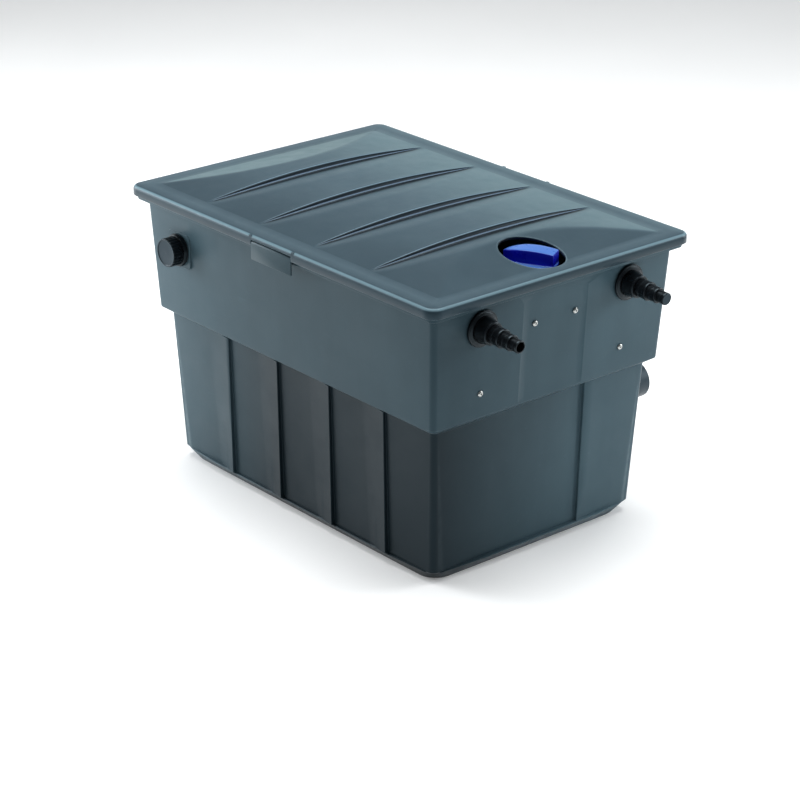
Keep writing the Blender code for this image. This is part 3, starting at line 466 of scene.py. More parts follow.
def ring_faces(rings, closed=False):
    """The faces between each ring and the next, and from the last to the first if closed."""
    count = len(rings[0])
    faces = []
    for level in range(len(rings) if closed else len(rings) - 1):
        low = level * count
        high = (level + 1) % len(rings) * count
        faces += [(low + i, low + (i + 1) % count, high + (i + 1) % count, high + i) for i in range(count)]
    return faces


def loft(name, rings, matrix=None, closed=False):
    """A solid through rings of equal length. Its ends are capped, unless the last ring meets the first."""
    count = len(rings[0])
    points = [point for ring in rings for point in ring]
    faces = ring_faces(rings, closed)
    if not closed:
        faces.append(tuple(range(count - 1, -1, -1)))
        faces.append(tuple(range(len(points) - count, len(points))))
    return new_piece(name, points, faces, matrix)


def circle(radius, z, segments, wobble=None):
    points = []
    for i in range(segments):
        angle = 2 * math.pi * i / segments
        out = radius + (wobble(angle) if wobble else 0.0)
        points.append((out * math.cos(angle), out * math.sin(angle), z))
    return points


def turned(name, profile, matrix=None, segments=SEGMENTS, ring=True):
    """A profile of (radius, z), or (radius, z, wobble), turned round local Z."""
    rings = [circle(radius, z, segments, *wobble) for radius, z, *wobble in profile]
    return loft(name, rings, matrix, closed=ring)


def rounded(profile, radius, steps=3):
    """The closed profile with each corner rounded by up to the radius."""
    made = []
    count = len(profile)
    for i, corner in enumerate(profile):
        here = Vector(corner)
        before = Vector(profile[i - 1]) - here
        after = Vector(profile[(i + 1) % count]) - here
        reach = min(radius, before.length * 0.45, after.length * 0.45)
        start = here + before.normalized() * reach
        end = here + after.normalized() * reach
        for k in range(steps + 1):
            t = k / steps
            point = start * (1 - t) ** 2 + here * 2 * t * (1 - t) + end * t**2
            made.append(tuple(point))
    return made


def box_piece(name, low, high, matrix=None):
    (x0, y0, z0), (x1, y1, z1) = low, high
    return loft(name, [[(x0, y0, z), (x1, y0, z), (x1, y1, z), (x0, y1, z)] for z in (z0, z1)], matrix)


def boolean(target, tool, operation="DIFFERENCE"):
    modifier = target.modifiers.new("boolean", "BOOLEAN")
    modifier.operation = operation
    modifier.object = tool
    bpy.context.view_layer.update()
    mesh = bpy.data.meshes.new_from_object(target.evaluated_get(bpy.context.evaluated_depsgraph_get()))
    target.modifiers.clear()
    target.data = mesh
    bpy.data.objects.remove(tool, do_unlink=True)


def drill(target, radius, reach, place, segments=SEGMENTS):
    """Cuts a round hole through the target along the place's local Z."""
    boolean(target, turned("bore", [(radius, -reach), (radius, reach)], place, segments, ring=False))


def joined(target, *others):
    """The pieces as one object."""
    work = bmesh.new()
    for piece in (target, *others):
        work.from_mesh(piece.data)
    work.to_mesh(target.data)
    work.free()
    for piece in others:
        bpy.data.objects.remove(piece, do_unlink=True)
    return target


def smooth(piece, angle=32):
    piece.data.shade_smooth()
    piece.data.set_sharp_from_angle(angle=math.radians(angle))
    return piece


def facing(axis, place):
    """A frame at a place whose local +Z points along axis and whose local +X stays level."""
    normal = Vector(axis).normalized()
    level = Vector((0, 0, 1)).cross(normal)
    if level.length < 1e-6:
        level = Vector((1, 0, 0))
    level.normalize()
    return Matrix.Translation(place) @ Matrix((level, normal.cross(level), normal)).transposed().to_4x4()


def middle(node):
    low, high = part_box(node)
    return (low + high) / 2


def dress(piece, paint, slot_name, body, *nodes):
    """Gives a new piece its material and its body, and hides the CAD nodes it stands for. The slot name is
    not used.
    """
    piece.data.materials.clear()
    piece.data.materials.append(MATERIALS[paint])
    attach(piece, body)
    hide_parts(*nodes)


def paint_end(piece, paint, axis):
    """Gives the faces at a piece's end along the axis another material."""
    piece.data.materials.append(MATERIALS[paint])
    reach = max(vertex.co.dot(axis) for vertex in piece.data.vertices)
    for face in piece.data.polygons:
        if face.normal.dot(axis) > 0.8 and face.center.dot(axis) > reach - 0.002:
            face.material_index = 1


def mix(low, high, share):
    return low + (high - low) * share


def shrink(half, amount):
    return half[0] - amount, half[1] - amount


# Tub


def outline(half, corner, z, long_side, short_side):
    """A rounded rectangle at height z. Sides hold (along, outwards), and opposite sides are turned copies."""
    half_x, half_y = half
    points = []
    for turn in (1, -1):
        x, y, start = turn * (half_x - corner), turn * (half_y - corner), 90 - 90 * turn
        points += [(turn * along, -turn * (half_y + out), z) for along, out in long_side]
        points += corner_points(x, -y, corner, start - 90, z)
        points += [(turn * (half_x + out), turn * along, z) for along, out in short_side]
        points += corner_points(x, y, corner, start, z)
    return points


def corner_points(x, y, corner, start, z, steps=CORNER_STEPS):
    points = []
    for k in range(steps + 1):
        angle = math.radians(start + 90 * k / steps)
        points.append((x + corner * math.cos(angle), y + corner * math.sin(angle), z))
    return points


def panels(share, shift=0.0, thickness=0.0):
    """The stepped panels at a share of the lower wall's height: (along, outwards) for both kinds of side."""
    proud = mix(*PANEL_PROUD, share) - thickness
    sunk = mix(*PANEL_SUNK, share) - thickness
    ramp = mix(*PANEL_RAMP, share)
    round_edge = 0.0012
    long_side = []
    resting = -thickness
    for step in LONG_STEPS:
        at = step + shift
        long_side += [(at - ramp * (1 - k / 7), mix(resting, proud, (k / 7) ** 1.25)) for k in range(7)]
        long_side += [(at - round_edge, proud - 0.0001), (at - round_edge * 0.4, proud - 0.0004)]
        long_side += [(at, proud - round_edge), (at + 0.0002, sunk + 0.0008)]
        long_side += [(at + 0.0008, sunk + 0.0001), (at + 0.003, sunk)]
        resting = sunk
    floor = sunk - 0.003
    step = SHORT_STEP - shift
    ledge = proud * 0.5 - thickness * 0.5
    short_side = [(SHORT_CREASE - 0.02, -thickness), (SHORT_CREASE, -thickness)]
    for k in range(1, 7):
        short_side.append((mix(SHORT_CREASE, step - 0.003, k / 6), mix(-thickness, floor, (k / 6) ** 1.3)))
    short_side += [(step - 0.0008, floor + 0.0001), (step - 0.0002, floor + 0.0008)]
    short_side += [(step, ledge - round_edge), (step + 0.0005, ledge - 0.0004)]
    short_side += [(step + round_edge, ledge - 0.0001)]
    short_side += [(step + 0.025, mix(ledge, -thickness, 0.4)), (step + 0.060, -thickness + 0.001)]
    return long_side, short_side


def plain_sides(out=0.0):
    return tuple([(along, out) for along, _ in side] for side in panels(1.0))


def band_sides(fade):
    """The upper band: a very shallow middle panel in the short side."""
    long_side, short_side = plain_sides()
    count = len(short_side) - 4
    edge = BAND_PANEL_HALF
    sunk = -0.0005 * fade
    inner = [(mix(-edge + 0.001, edge - 0.001, k / (count - 1)), sunk) for k in range(count)]
    short_side = [(-edge - 0.0012, 0.0), (-edge, 0.0), *inner, (edge, 0.0), (edge + 0.0012, 0.0)]
    return long_side, short_side


def tub_rings():
    """The tub's rings, from its underside up the outside, over the rim and down the inside."""
    plain = plain_sides()
    inside = plain_sides(-WALL)
    corner = WALL_CORNER
    inner_corner = corner * 0.6
    skirt = shrink(COLLAR_HALF, 0.004)
    band_z = COLLAR_SHELF_Z

    def ring(half, inset, radius, z, sides=plain):
        return outline(shrink(half, inset), radius, z, *sides)

    def between(low, high, share):
        return tuple(mix(a, b, share) for a, b in zip(low, high))

    def band(z, sides):
        share = (z - LEDGE_HIGH_Z) / (band_z - LEDGE_HIGH_Z)
        return ring(between(BAND_BOTTOM_HALF, BAND_TOP_HALF, share), 0, corner, z, sides)

    def lower(z):
        share = (z - FOOT_Z) / (LEDGE_LOW_Z - FOOT_Z)
        return ring(between(LOWER_BOTTOM_HALF, LOWER_TOP_HALF, share), 0, corner, z, panels(share))

    shelf = WALL * 0.6
    return [
        ring(UNDERSIDE_HALF, 0.002, FOOT_CORNER, 0.0),
        ring(UNDERSIDE_HALF, 0, FOOT_CORNER, 0.0012, plain_sides(0.0006)),
        ring(FOOT_HALF, 0.001, FOOT_CORNER - 0.005, FOOT_Z - 0.0035, plain_sides(0.0052)),
        ring(FOOT_HALF, 0, FOOT_CORNER - 0.005, FOOT_Z - 0.002, plain_sides(0.006)),
        ring(FOOT_HALF, 0.0007, FOOT_CORNER - 0.006, FOOT_Z - 0.0003, plain_sides(0.0055)),
        *(lower(z) for z in (FOOT_Z + 0.001, 0.10, 0.20, LEDGE_LOW_Z - 0.0015)),
        ring(LOWER_TOP_HALF, 0, corner, LEDGE_LOW_Z, panels(1.0)),
        ring(LOWER_TOP_HALF, -0.0015, corner, LEDGE_LOW_Z + 0.0011, plain_sides(-0.0005)),
        ring(BAND_BOTTOM_HALF, 0.0014, corner, LEDGE_HIGH_Z - 0.0013),
        ring(BAND_BOTTOM_HALF, 0.0004, corner, LEDGE_HIGH_Z - 0.0005),
        ring(BAND_BOTTOM_HALF, 0, corner, LEDGE_HIGH_Z + 0.0008),
        band(LEDGE_HIGH_Z + 0.004, band_sides(0.2)),
        *(band(z, band_sides(1.0)) for z in (LEDGE_HIGH_Z + 0.012, 0.45, 0.552)),
        band(band_z, plain),
        ring(skirt, 0, corner, band_z),
        ring(skirt, 0, corner, COLLAR_LOW_Z + 0.0006),
        ring(skirt, -0.0008, corner, COLLAR_LOW_Z),
        ring(COLLAR_HALF, 0.0012, corner + 0.003, COLLAR_LOW_Z),
        ring(COLLAR_HALF, 0.0003, corner + 0.004, COLLAR_LOW_Z + 0.0005),
        ring(COLLAR_HALF, 0, corner + 0.004, COLLAR_LOW_Z + 0.0016),
        ring(COLLAR_HALF, 0, corner + 0.004, RIM_Z - 0.0015),
        ring(COLLAR_HALF, 0.0015, corner + 0.003, RIM_Z),
        ring(BAND_TOP_HALF, WALL - 0.0015, inner_corner, RIM_Z),
        ring(BAND_TOP_HALF, WALL, inner_corner, RIM_Z - 0.0015),
        ring(BAND_BOTTOM_HALF, 0, inner_corner + WALL, LEDGE_HIGH_Z + shelf, inside),
        ring(LOWER_TOP_HALF, 0, inner_corner + WALL, LEDGE_LOW_Z + shelf, panels(1.0, -WALL, WALL)),
        ring(LOWER_BOTTOM_HALF, 0, corner + WALL, FOOT_Z, panels(0.0, -WALL, WALL)),
        ring(UNDERSIDE_HALF, 0, FOOT_CORNER + WALL, WALL, inside),
    ]


def seat_frames():
    """The frame on each fitting's seat. Those with a flat seat are found from the seal on it."""
    frames = {"inlet_left": wall_frame(-INLET_Y, INLET_Z), "inlet_right": wall_frame(INLET_Y, INLET_Z)}
    for name, axis, outwards in (("port", 1, -1), ("drain", 1, 1), ("outlet", 0, -1)):
        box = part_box(name + "_seal")
        place = middle(name + "_seal")
        place[axis] = box[0 if outwards > 0 else 1][axis] - outwards * SEAT_GAP
        direction = [0, 0, 0]
        direction[axis] = outwards
        frames[name] = facing(direction, place)
    return frames


def square_ring(half, corner, z):
    side = half - corner
    corners = ((side, -side, -90), (side, side, 0), (-side, side, 90), (-side, -side, 180))
    return [point for x, y, start in corners for point in corner_points(x, y, corner, start, z, 6)]


def make_tub(seats):
    """The tub, with a hole for each fitting and a raised seat for those on the sloping walls."""
    tub = loft("tub_shell", tub_rings())
    chamfer = 0.0008
    gap = 0.0008  # round the pipe stubs
    for side in ("left", "right"):
        drill(tub, INLET_BODY_R + 0.0005, 0.03, seats["inlet_" + side])
    half = PORT_SEAT_HALF
    steps = ((half, 0.011, -0.0115), (half, 0.011, -chamfer), (half - chamfer, 0.0105, 0))
    boolean(tub, loft("seat", [square_ring(*step) for step in steps], seats["port"]), "UNION")
    drill(tub, PORT_HOLE_R, 0.05, seats["port"])
    for name, pipe, (seat, depth) in (("drain", DRAIN_R, DRAIN_SEAT), ("outlet", OUTLET_R, OUTLET_SEAT)):
        profile = [(seat, -depth), (seat, -chamfer), (seat - chamfer, 0.0)]
        boolean(tub, turned("seat", profile, seats[name], ring=False), "UNION")
        drill(tub, pipe + gap, 0.05, seats[name])
    for place in screw_frames():
        drill(tub, SCREW_HOLE_R, 0.03, place, 20)
    dress(smooth(clean(tub), 28), "tub", "shell", "tub", "tub")


def wall_frame(y, z):
    """A frame on the inlet wall's outer face. The wall leans out, so local +Z dips a little."""
    rise = COLLAR_SHELF_Z - LEDGE_HIGH_Z
    lean = BAND_TOP_HALF[0] - BAND_BOTTOM_HALF[0]
    return facing((rise, 0, -lean), (BAND_BOTTOM_HALF[0] + lean * (z - LEDGE_HIGH_Z) / rise, y, z))


def screw_frames():
    return [wall_frame(side * y, z) for y, z in SCREWS for side in (-1, 1)]


# Lid


def soft_min(first, second, width=0.0012):
    """The lower of two heights, with the crease between them slightly rounded."""
    blend = max(0.0, width - abs(first - second)) / width
    return min(first, second) - blend * blend * width / 4


def ridge_fade(y):
    return max(0.0, 1 - (y / RIDGE_LENGTH) ** 2) ** RIDGE_FADE


def lid_height(x, y):
    barrel = CROWN * max(0.0, 1 - (y / FIELD_HALF[1]) ** 2)
    front = FRONT_SLOPE * (FIELD_HALF[0] - x)
    rear = REAR_SLOPE * (FIELD_HALF[0] + x)
    crown = max(0.0, soft_min(soft_min(barrel, front), rear))
    return LID_BORDER_Z + crown


def lid_columns(y):
    """(x, depth) of each column of the lid's field at y: even columns, and close ones at each ridge."""
    fade = ridge_fade(y)
    width = RIDGE_WIDTH * mix(RIDGE_END_WIDTH, 1.0, fade)
    first = RIDGES[0] + RIDGE_SHAPE[0][0] * RIDGE_WIDTH
    columns = [(mix(-FIELD_HALF[0], first, k / 40), 0.0) for k in range(40)]
    for number, ridge in enumerate(RIDGES):
        for along, depth in RIDGE_SHAPE:
            columns.append((ridge + along * width, depth * RIDGE_DEPTH * fade))
        start = ridge + RIDGE_SHAPE[-1][0] * width
        end = RIDGES[number + 1] + RIDGE_SHAPE[0][0] * width if number < 3 else FIELD_HALF[0]
        count = 10 if number < 3 else 38
        columns += [(mix(start, end, k / count), 0.0) for k in range(1, count + (number == 3))]
    return columns


def lid_rows():
    count = 34
    return [FIELD_HALF[1] * math.sin(math.pi / 2 * k / count) for k in range(-count, count + 1)]


def lid_edge_ring(inset, z, rows):
    """A ring of the lid's outline with a point for each point of the field's edge."""
    half_x, half_y = shrink(LID_HALF, inset)
    corner = max(LID_CORNER - inset, 0.002)
    edge = [x for x, _ in lid_columns(FIELD_HALF[1])]
    scale_x = (half_x - corner) / FIELD_HALF[0]
    scale_y = (half_y - corner) / FIELD_HALF[1]
    sides = (
        ([(x * scale_x, -half_y, z) for x in edge], (half_x - corner, -half_y + corner, -90)),
        ([(half_x, y * scale_y, z) for y in rows], (half_x - corner, half_y - corner, 0)),
        ([(x * scale_x, half_y, z) for x in reversed(edge)], (-half_x + corner, half_y - corner, 90)),
        ([(-half_x, y * scale_y, z) for y in reversed(rows)], (-half_x + corner, -half_y + corner, 180)),
    )
    return [point for side, at in sides for point in side + corner_points(*at[:2], corner, at[2], z)[1:-1]]


def lid_field_ring(rows, shift):
    edge = [x for x, _ in lid_columns(FIELD_HALF[1])]
    half_x, half_y = FIELD_HALF
    between = CORNER_STEPS - 1

    def at(x, y):
        return (x, y, lid_height(x, y) + shift)

    points = [at(x, -half_y) for x in edge] + [at(half_x, -half_y)] * between
    points += [at(half_x, y) for y in rows] + [at(half_x, half_y)] * between
    points += [at(x, half_y) for x in reversed(edge)] + [at(-half_x, half_y)] * between
    points += [at(-half_x, y) for y in reversed(rows)] + [at(-half_x, -half_y)] * between
    return points


def lid_rings(rows):
    """The lid's rings, from the field's edge over the rounded rim and under the skirt to the underside."""
    edge_steps = 6
    border = LID_BORDER_Z
    section = [(0.030, border)]
    for k in range(edge_steps + 1):
        angle = math.pi / 2 * k / edge_steps
        section.append((LID_EDGE_R * (1 - math.sin(angle)), border - LID_EDGE_R * (1 - math.cos(angle))))
    section += [(0.0, LID_LOW_Z + 0.0012), (0.0010, LID_LOW_Z), (LID_FLANGE - 0.0006, LID_LOW_Z)]
    section += [(LID_FLANGE, LID_LOW_Z + 0.0006), (LID_FLANGE, LID_LOW_Z + 0.0030)]
    section += [(LID_SKIN + 0.0010, LID_LOW_Z + 0.0034), (LID_SKIN, border - LID_EDGE_R)]
    section.append((0.012, border - LID_SKIN))
    edge = [lid_edge_ring(inset, z, rows) for inset, z in section]
    return [lid_field_ring(rows, 0.0), *edge, lid_field_ring(rows, -LID_SKIN)]


def lid_field(rows, shift):
    points = []
    for y in rows:
        points += [(x, y, lid_height(x, y) - depth + shift) for x, depth in lid_columns(y)]
    wide = len(points) // len(rows)
    starts = [j * wide + i for j in range(len(rows) - 1) for i in range(wide - 1)]
    return points, [(low, low + 1, low + wide + 1, low + wide) for low in starts]


def flap_frame(side):
    """A frame on the flap's pin: local X along the pin, local Y out of the lid."""
    pin = middle("flap_pin_front" if side < 0 else "flap_pin_rear")
    return Matrix.Translation(pin) @ Matrix.Rotation(0.0 if side > 0 else math.pi, 4, "Z")


def make_lid():
    rows = lid_rows()
    rings = lid_rings(rows)
    points = [point for ring in rings for point in ring]
    faces = ring_faces(rings)
    for shift, flip in ((0.0, 1), (-LID_SKIN, -1)):
        field_points, field_faces = lid_field(rows, shift)
        base = len(points)
        points += field_points
        faces += [tuple(base + k for k in face[::flip]) for face in field_faces]
    lid = new_piece("lid_shell", points, faces)
    boolean(lid, loft("opening", [opening_ring(0.0, z) for z in (0.59, 0.65)]))
    for side in (-1, 1):
        place = flap_frame(side)
        half = FLAP_WIDTH / 2 + FLAP_GAP
        boolean(lid, box_piece("notch", (-half, -0.0078, -0.011), (half, 0.020, 0.0062), place))
        for end in (-1, 1):
            near, far = sorted((end * (half - 0.0005), end * (FLAP_WIDTH / 2 + LUG_REACH)))
            boolean(lid, box_piece("lug", (near, -0.013, -0.0046), (far, 0.0035, 0.015), place), "UNION")
        pin = place @ Matrix.Rotation(math.pi / 2, 4, "Y")
        drill(lid, PIN_HOLE_R, FLAP_WIDTH / 2 + LUG_REACH - 0.0002, pin, 16)
    joined(lid, opening_lip())
    dress(smooth(lid, 40), "lid", "shell", "lid", "lid")
    # Painted shade: faces inside the opening and under the lid round it are painted black, as the shade in
    # the opening.
    lid.data.materials.append(MATERIALS["black"])
    for face in lid.data.polygons:
        away = ((face.center[i] - OPENING[i]) / OPENING_HALF[i] for i in (0, 1))
        if math.hypot(*away) < 1.04 and face.normal.z < 0.35:
            face.material_index = 1


def opening_ring(inset, z=None, drop=0.0):
    """The opening's oval, at height z or lying on the lid's sloping end, less a drop."""
    points = []
    for i in range(96):
        angle = 2 * math.pi * i / 96
        x = OPENING[0] + (OPENING_HALF[0] - inset) * math.cos(angle)
        y = OPENING[1] + (OPENING_HALF[1] - inset) * math.sin(angle)
        points.append((x, y, z if z is not None else lid_height(x, y) - drop))
    return points


def opening_lip():
    """The turned-down lip round the opening, with a rounded top edge."""
    section = mm(
        (-1.2, 0.1), (-0.6, -0.4), (0, -0.5), (0.9, -0.1), (1.4, 0.9), (1.5, 2.4), (1.5, 4.6), (0.8, 5.2),
        (-0.4, 5.2), (-1.1, 5), (-1.2, 4.6)
    )
    return loft("lip", [opening_ring(inset, drop=drop) for inset, drop in section], closed=True)


def make_flaps():
    for label, side in (("front", -1), ("rear", 1)):
        node = f"lid_flap_{label}"
        low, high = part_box(node)
        place = flap_frame(side)
        face = high.y - place.translation.y if side > 0 else place.translation.y - low.y
        bottom = low.z - place.translation.z
        inner = face - 0.003
        profile = [(face, bottom), (face, -0.001), (face - 0.0008, 0.0022), (face - 0.0024, 0.0034)]
        profile += [(-0.0012, 0.0034), (-0.0034, 0.0012), (-0.0034, -0.0016), (-0.0012, -0.0034)]
        profile += [(inner, -0.0060), (inner, bottom)]
        profile = rounded(profile, 0.0009, 2)
        half = FLAP_WIDTH / 2
        ends = ((-half, 0.0008), (-half + 0.0008, 0.0), (half - 0.0008, 0.0), (half, 0.0008))
        centre = (sum(y for y, _ in profile) / len(profile), sum(z for _, z in profile) / len(profile))
        rings = []
        for x, pull in ends:
            share = 1 - pull / 0.02
            rings.append([(x, mix(centre[0], y, share), mix(centre[1], z, share)) for y, z in profile])
        flap = smooth(loft(f"flap_{label}", rings, place), 30)
        dress(flap, "shell", "shell", f"flap_{label}", node)


# Wall fittings


def knurl(angle):
    """The port cap's grooves: how far its side is cut back at an angle round it."""
    return -0.0011 * max(0.0, 0.1 - math.cos(24 * angle)) / 1.1


def fitting(name, profile, place, body, node, paint="black", segments=SEGMENTS, angle=32):
    """A turned fitting, dressed for its body and its CAD node."""
    piece = smooth(turned(name, profile, place, segments), angle)
    dress(piece, paint, paint, body, node)
    return piece


def make_inlet(label, place):
    name = f"inlet_{label}_"
    body = [(0.0140, -0.026), (INLET_BODY_R, -0.026), (INLET_BODY_R, 0.0021)]
    body += mm((37, 2.1), (37, 5.8), (36, 6.8), (33.5, 6.8), (32.5, 7.5), (29, 8.5))
    body += mm((18.8, 8.5), (18.8, 20), (14, 20))
    fitting(name + "flange", rounded(body, 0.0006), place, "tub", name + "body")
    nut = mm(
        (19.2, 8.8), (26.2, 8.8), (27.2, 11), (26.8, 12.8), (22.4, 31.8), (23.1, 32.3), (23.1, 33.4),
        (22.2, 34.1), (21.5, 35), (17.8, 35), (17.8, 29), (19.2, 29)
    )
    fitting(name + "nut", rounded(nut, 0.0004), place, "union_" + label, name + "union_nut")
    tail = fitting(name + "tail", tail_profile(label == "left"), place, "tub", name + "hose_tail")
    if label == "right":
        # Painted light: the end face is painted grey against the black sides.
        paint_end(tail, "cap", place.to_3x3() @ Vector((0, 0, 1)))


def tail_profile(cut_open):
    """A hose tail in three steps. Each step has a barb ring and a rounded outer crest."""
    outside = mm((18.7, 20.3), (18.7, 28.7), (17.4, 28.7), (17.4, 35.2), (17.8, 36))
    start = 0.0360
    for radius, length in TAIL_STEPS:
        crest = start + length
        neck = radius - 0.0012
        outside += [(neck, start), (neck, start + 0.0060), (radius - 0.0003, start + 0.0095)]
        outside += [(radius - 0.0003, start + 0.0103), (neck + 0.0002, start + 0.0105)]
        outside += [(neck + 0.0002, crest - 0.0080), (radius, crest - 0.0040), (radius, crest - 0.0022)]
        outside += [(radius - 0.0006, crest - 0.0006), (radius - 0.0014, crest)]
        start = crest
    if cut_open:
        outside += [(0.0102, start), (0.0098, start - 0.0006)]
    else:
        outside += [(0.0004, start), (0.0004, start - 0.003), (0.0098, start - 0.003)]
    return outside + [(0.0098, 0.0500), (0.0135, 0.0330), (0.0138, 0.0203)]


def make_screws():
    profile = mm((3, -12), (3, 0.4), (6, 0.4), (6.2, 0.6), (6.2, 1.1), (5.9, 1.9), (5.1, 2.8), (4, 3.4))
    profile += mm((2.8, 3.7))
    for number, place in enumerate(screw_frames(), 1):
        screw = turned(f"screw_{number}", profile, place, 40, ring=False)
        turn = Matrix.Rotation(math.radians(17 * number), 4, "Z")
        boolean(screw, loft("socket", [circle(SOCKET_R, z, 6) for z in (0.0016, 0.01)], place @ turn))
        dress(smooth(screw), "screw", "steel", "tub", f"wall_screw_{number}")


def make_port(place):
    body = mm((17, -30), (23, -30), (23, 2.3), (34, 2.3), (34.5, 4), (32.5, 10), (25.2, 10))
    body += mm((25.2, 26), (17, 26))
    fitting("port_collar", rounded(body, 0.0007), place, "tub", "port_body")
    r = PORT_CAP_R
    profile = [(r - 0.0047, 0.0106), (r - 0.0007, 0.0103), (r - 0.0001, 0.0110, knurl), (r, 0.0118, knurl)]
    profile += [(r - 0.0002, 0.0318, knurl), (r - 0.0007, 0.0332, knurl), (r - 0.0015, 0.0339)]
    profile += [(r - 0.0027, 0.0340), (r - 0.0038, 0.0338), (r - 0.0044, 0.0331), (r - 0.0053, 0.0330)]
    profile += [(0.0100, 0.0333), (0.0006, 0.0333), (0.0006, 0.0292), (r - 0.0049, 0.0290)]
    profile.append((r - 0.0047, 0.0286))
    cap = fitting("knurled_cap", profile, place, "port_cap", "port_cap", segments=192, angle=40)
    # Painted light: the end face is painted grey against the black sides.
    paint_end(cap, "cap", Vector((0, -1, 0)))


def make_stub(name, paint, place, pipe, wall, reach, flange, segments=SEGMENTS):
    """A pipe stub: its radius, wall, inner and outer ends, and its flange's radius and outer face."""
    inner, outer = reach
    edge, face = flange
    stub = [(pipe - wall, inner), (pipe, inner), (pipe, 0.0026), (edge, 0.0026)]
    stub += [(edge, face), (pipe, face), (pipe, outer), (pipe - wall, outer)]
    fitting(name + "_pipe_stub", rounded(stub, 0.0009), place, "tub", name + "_stub", paint, segments)


# Grip, brush and foam


def curve(points, share):
    """A smooth curve through the points, at a share of its stations."""
    place = share * (len(points) - 1)
    k = min(int(place), len(points) - 2)
    t = place - k
    before, start, end, after = (Vector(points[min(max(k + i, 0), len(points) - 1)]) for i in (-1, 0, 1, 2))
    bend = (end - start) * 3 - (end - before) - (after - start) / 2
    twist = (start - end) * 2 + (end - before + after - start) / 2
    return start + (end - before) * (t / 2) + bend * t**2 + twist * t**3


def make_grip(place):
    """A dished disc with a broad bar that comes to a point, a filleted foot and a rounded top edge."""
    z = GRIP_DISC_Z
    disc = mm(
        (12.5, -31), (12.5, -8), (53.5, -4.6), (55, -3.8), (55.5, -2.8), (55.2, -1.6), (54.4, -0.8),
        (53, -0.4), (50, -0.9), (20, 0), (10, 0.6), (0.5, 0.6), (0.5, -6), (6.2, -6), (6.3, -30.8)
    )
    grip = turned("grip", [(radius, z + rise) for radius, rise in disc], place, 96)
    rings = [grip_ring(*curve(GRIP_BAR, k / 44), z) for k in range(45)]
    along, half, top = GRIP_BAR[-1]
    for out, pull in ((0.0008, 0.0004), (0.0013, 0.0010), (0.0015, 0.0018)):
        rings.append(grip_ring(along + out, half - pull, top - pull * 0.5, z))
    dress(smooth(joined(grip, loft("bar", rings, place)), 38), "blue", "blue", "cleaner", "rotary_grip")


def grip_ring(along, half, top, z):
    edge = min(0.0022, half * 0.4)
    foot = min(0.0030, half * 0.5)
    side = [(half + foot, z - 0.0004), (half + foot * 0.35, z + 0.0007), (half + foot * 0.05, z + 0.0026)]
    side += [(half, z + 0.0050), (half, top - edge * 1.3), (half - edge * 0.15, top - edge * 0.6)]
    side += [(half - edge * 0.5, top - edge * 0.2), (half - edge, top - edge * 0.04), (half * 0.45, top)]
    return [(along, y, level) for y, level in side] + [(along, -y, level) for y, level in reversed(side)]


def make_bristles(place):
    """The brush's strip as two rows of tufts on a thin back."""
    low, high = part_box("bristle_strip")
    start, tip, half = 0.0363, 0.0449, 0.0028
    strip = box_piece("bristle_tufts", (start, -half, low.z), (start + 0.0020, half, high.z), place)
    tufts = []
    pitch = 0.0021
    corners = ((-1, -1), (1, -1), (1, 1), (-1, 1))
    for k in range(int((high.z - low.z) / pitch)):
        z = low.z + (k + 0.5) * pitch
        for y in (-0.0014, 0.0014):
            lean = 0.0004 * math.sin(12.9898 * k + 78.2 * y * 1000)
            rings = []
            for out, size, rise in ((start + 0.0018, 0.0006, 0.0), (tip, 0.0009, lean)):
                rings.append([(out, y + sy * size, z + rise + sz * size) for sy, sz in corners])
            tufts.append(loft("tuft", rings, place))
    dress(joined(strip, *tufts), "bristles", "blue", "cleaner", "bristle_strip")


def foam_surface(point, low, high):
    """A foam pad's point, drawn in at its edges and uneven as cut foam is."""
    radius = 0.004
    inner_low = low + Vector((radius,) * 3)
    inner_high = high - Vector((radius,) * 3)
    core = Vector([min(max(point[i], inner_low[i]), inner_high[i]) for i in range(3)])
    away = point - core
    if away.length < 1e-9:
        return point
    uneven = 0.0005 + 0.0007 * noise.noise(point * 34) + 0.0004 * noise.noise(point * 130)
    return core + away.normalized() * (radius - max(0.0, uneven))


def grid_box(name, low, high, step):
    """A box whose faces are divided into squares of about the step."""
    work = bmesh.new()
    counts = [max(2, round(size / step)) for size in high - low]
    for axis in range(3):
        u, v = (axis + 1) % 3, (axis + 2) % 3
        for end in (0.0, 1.0):
            grid = {}
            for i in range(counts[u] + 1):
                for j in range(counts[v] + 1):
                    point = Vector((0, 0, 0))
                    point[axis] = mix(low[axis], high[axis], end)
                    point[u] = mix(low[u], high[u], i / counts[u])
                    point[v] = mix(low[v], high[v], j / counts[v])
                    grid[i, j] = work.verts.new(point)
            for i in range(counts[u]):
                for j in range(counts[v]):
                    work.faces.new((grid[i, j], grid[i + 1, j], grid[i + 1, j + 1], grid[i, j + 1]))
    bmesh.ops.remove_doubles(work, verts=work.verts, dist=1e-6)
    mesh = bpy.data.meshes.new(name)
    work.to_mesh(mesh)
    work.free()
    return linked(name, mesh)


def make_foam():
    rod_y = 0.125
    hole_r = 0.0108
    for label in ("front", "rear"):
        for level in range(1, 5):
            node = f"foam_{label}_{level}"
            low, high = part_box(node)
            pad = grid_box(f"pad_{label}_{level}", low, high, 0.009)
            for vertex in pad.data.vertices:
                vertex.co = foam_surface(vertex.co.copy(), low, high)
            clean(pad)
            for side in (-1, 1):
                stand = Matrix.Translation(((low.x + high.x) / 2, side * rod_y, 0))
                profile = [(hole_r, low.z - 0.01), (hole_r, high.z + 0.01)]
                boolean(pad, turned("hole", profile, stand, 24, ring=False))
            smooth(pad, 50)
            paint = "foam_red" if level == 4 else "foam_blue"
            dress(pad, paint, paint, f"cassette_{label}", node)


# CAD nodes that stay


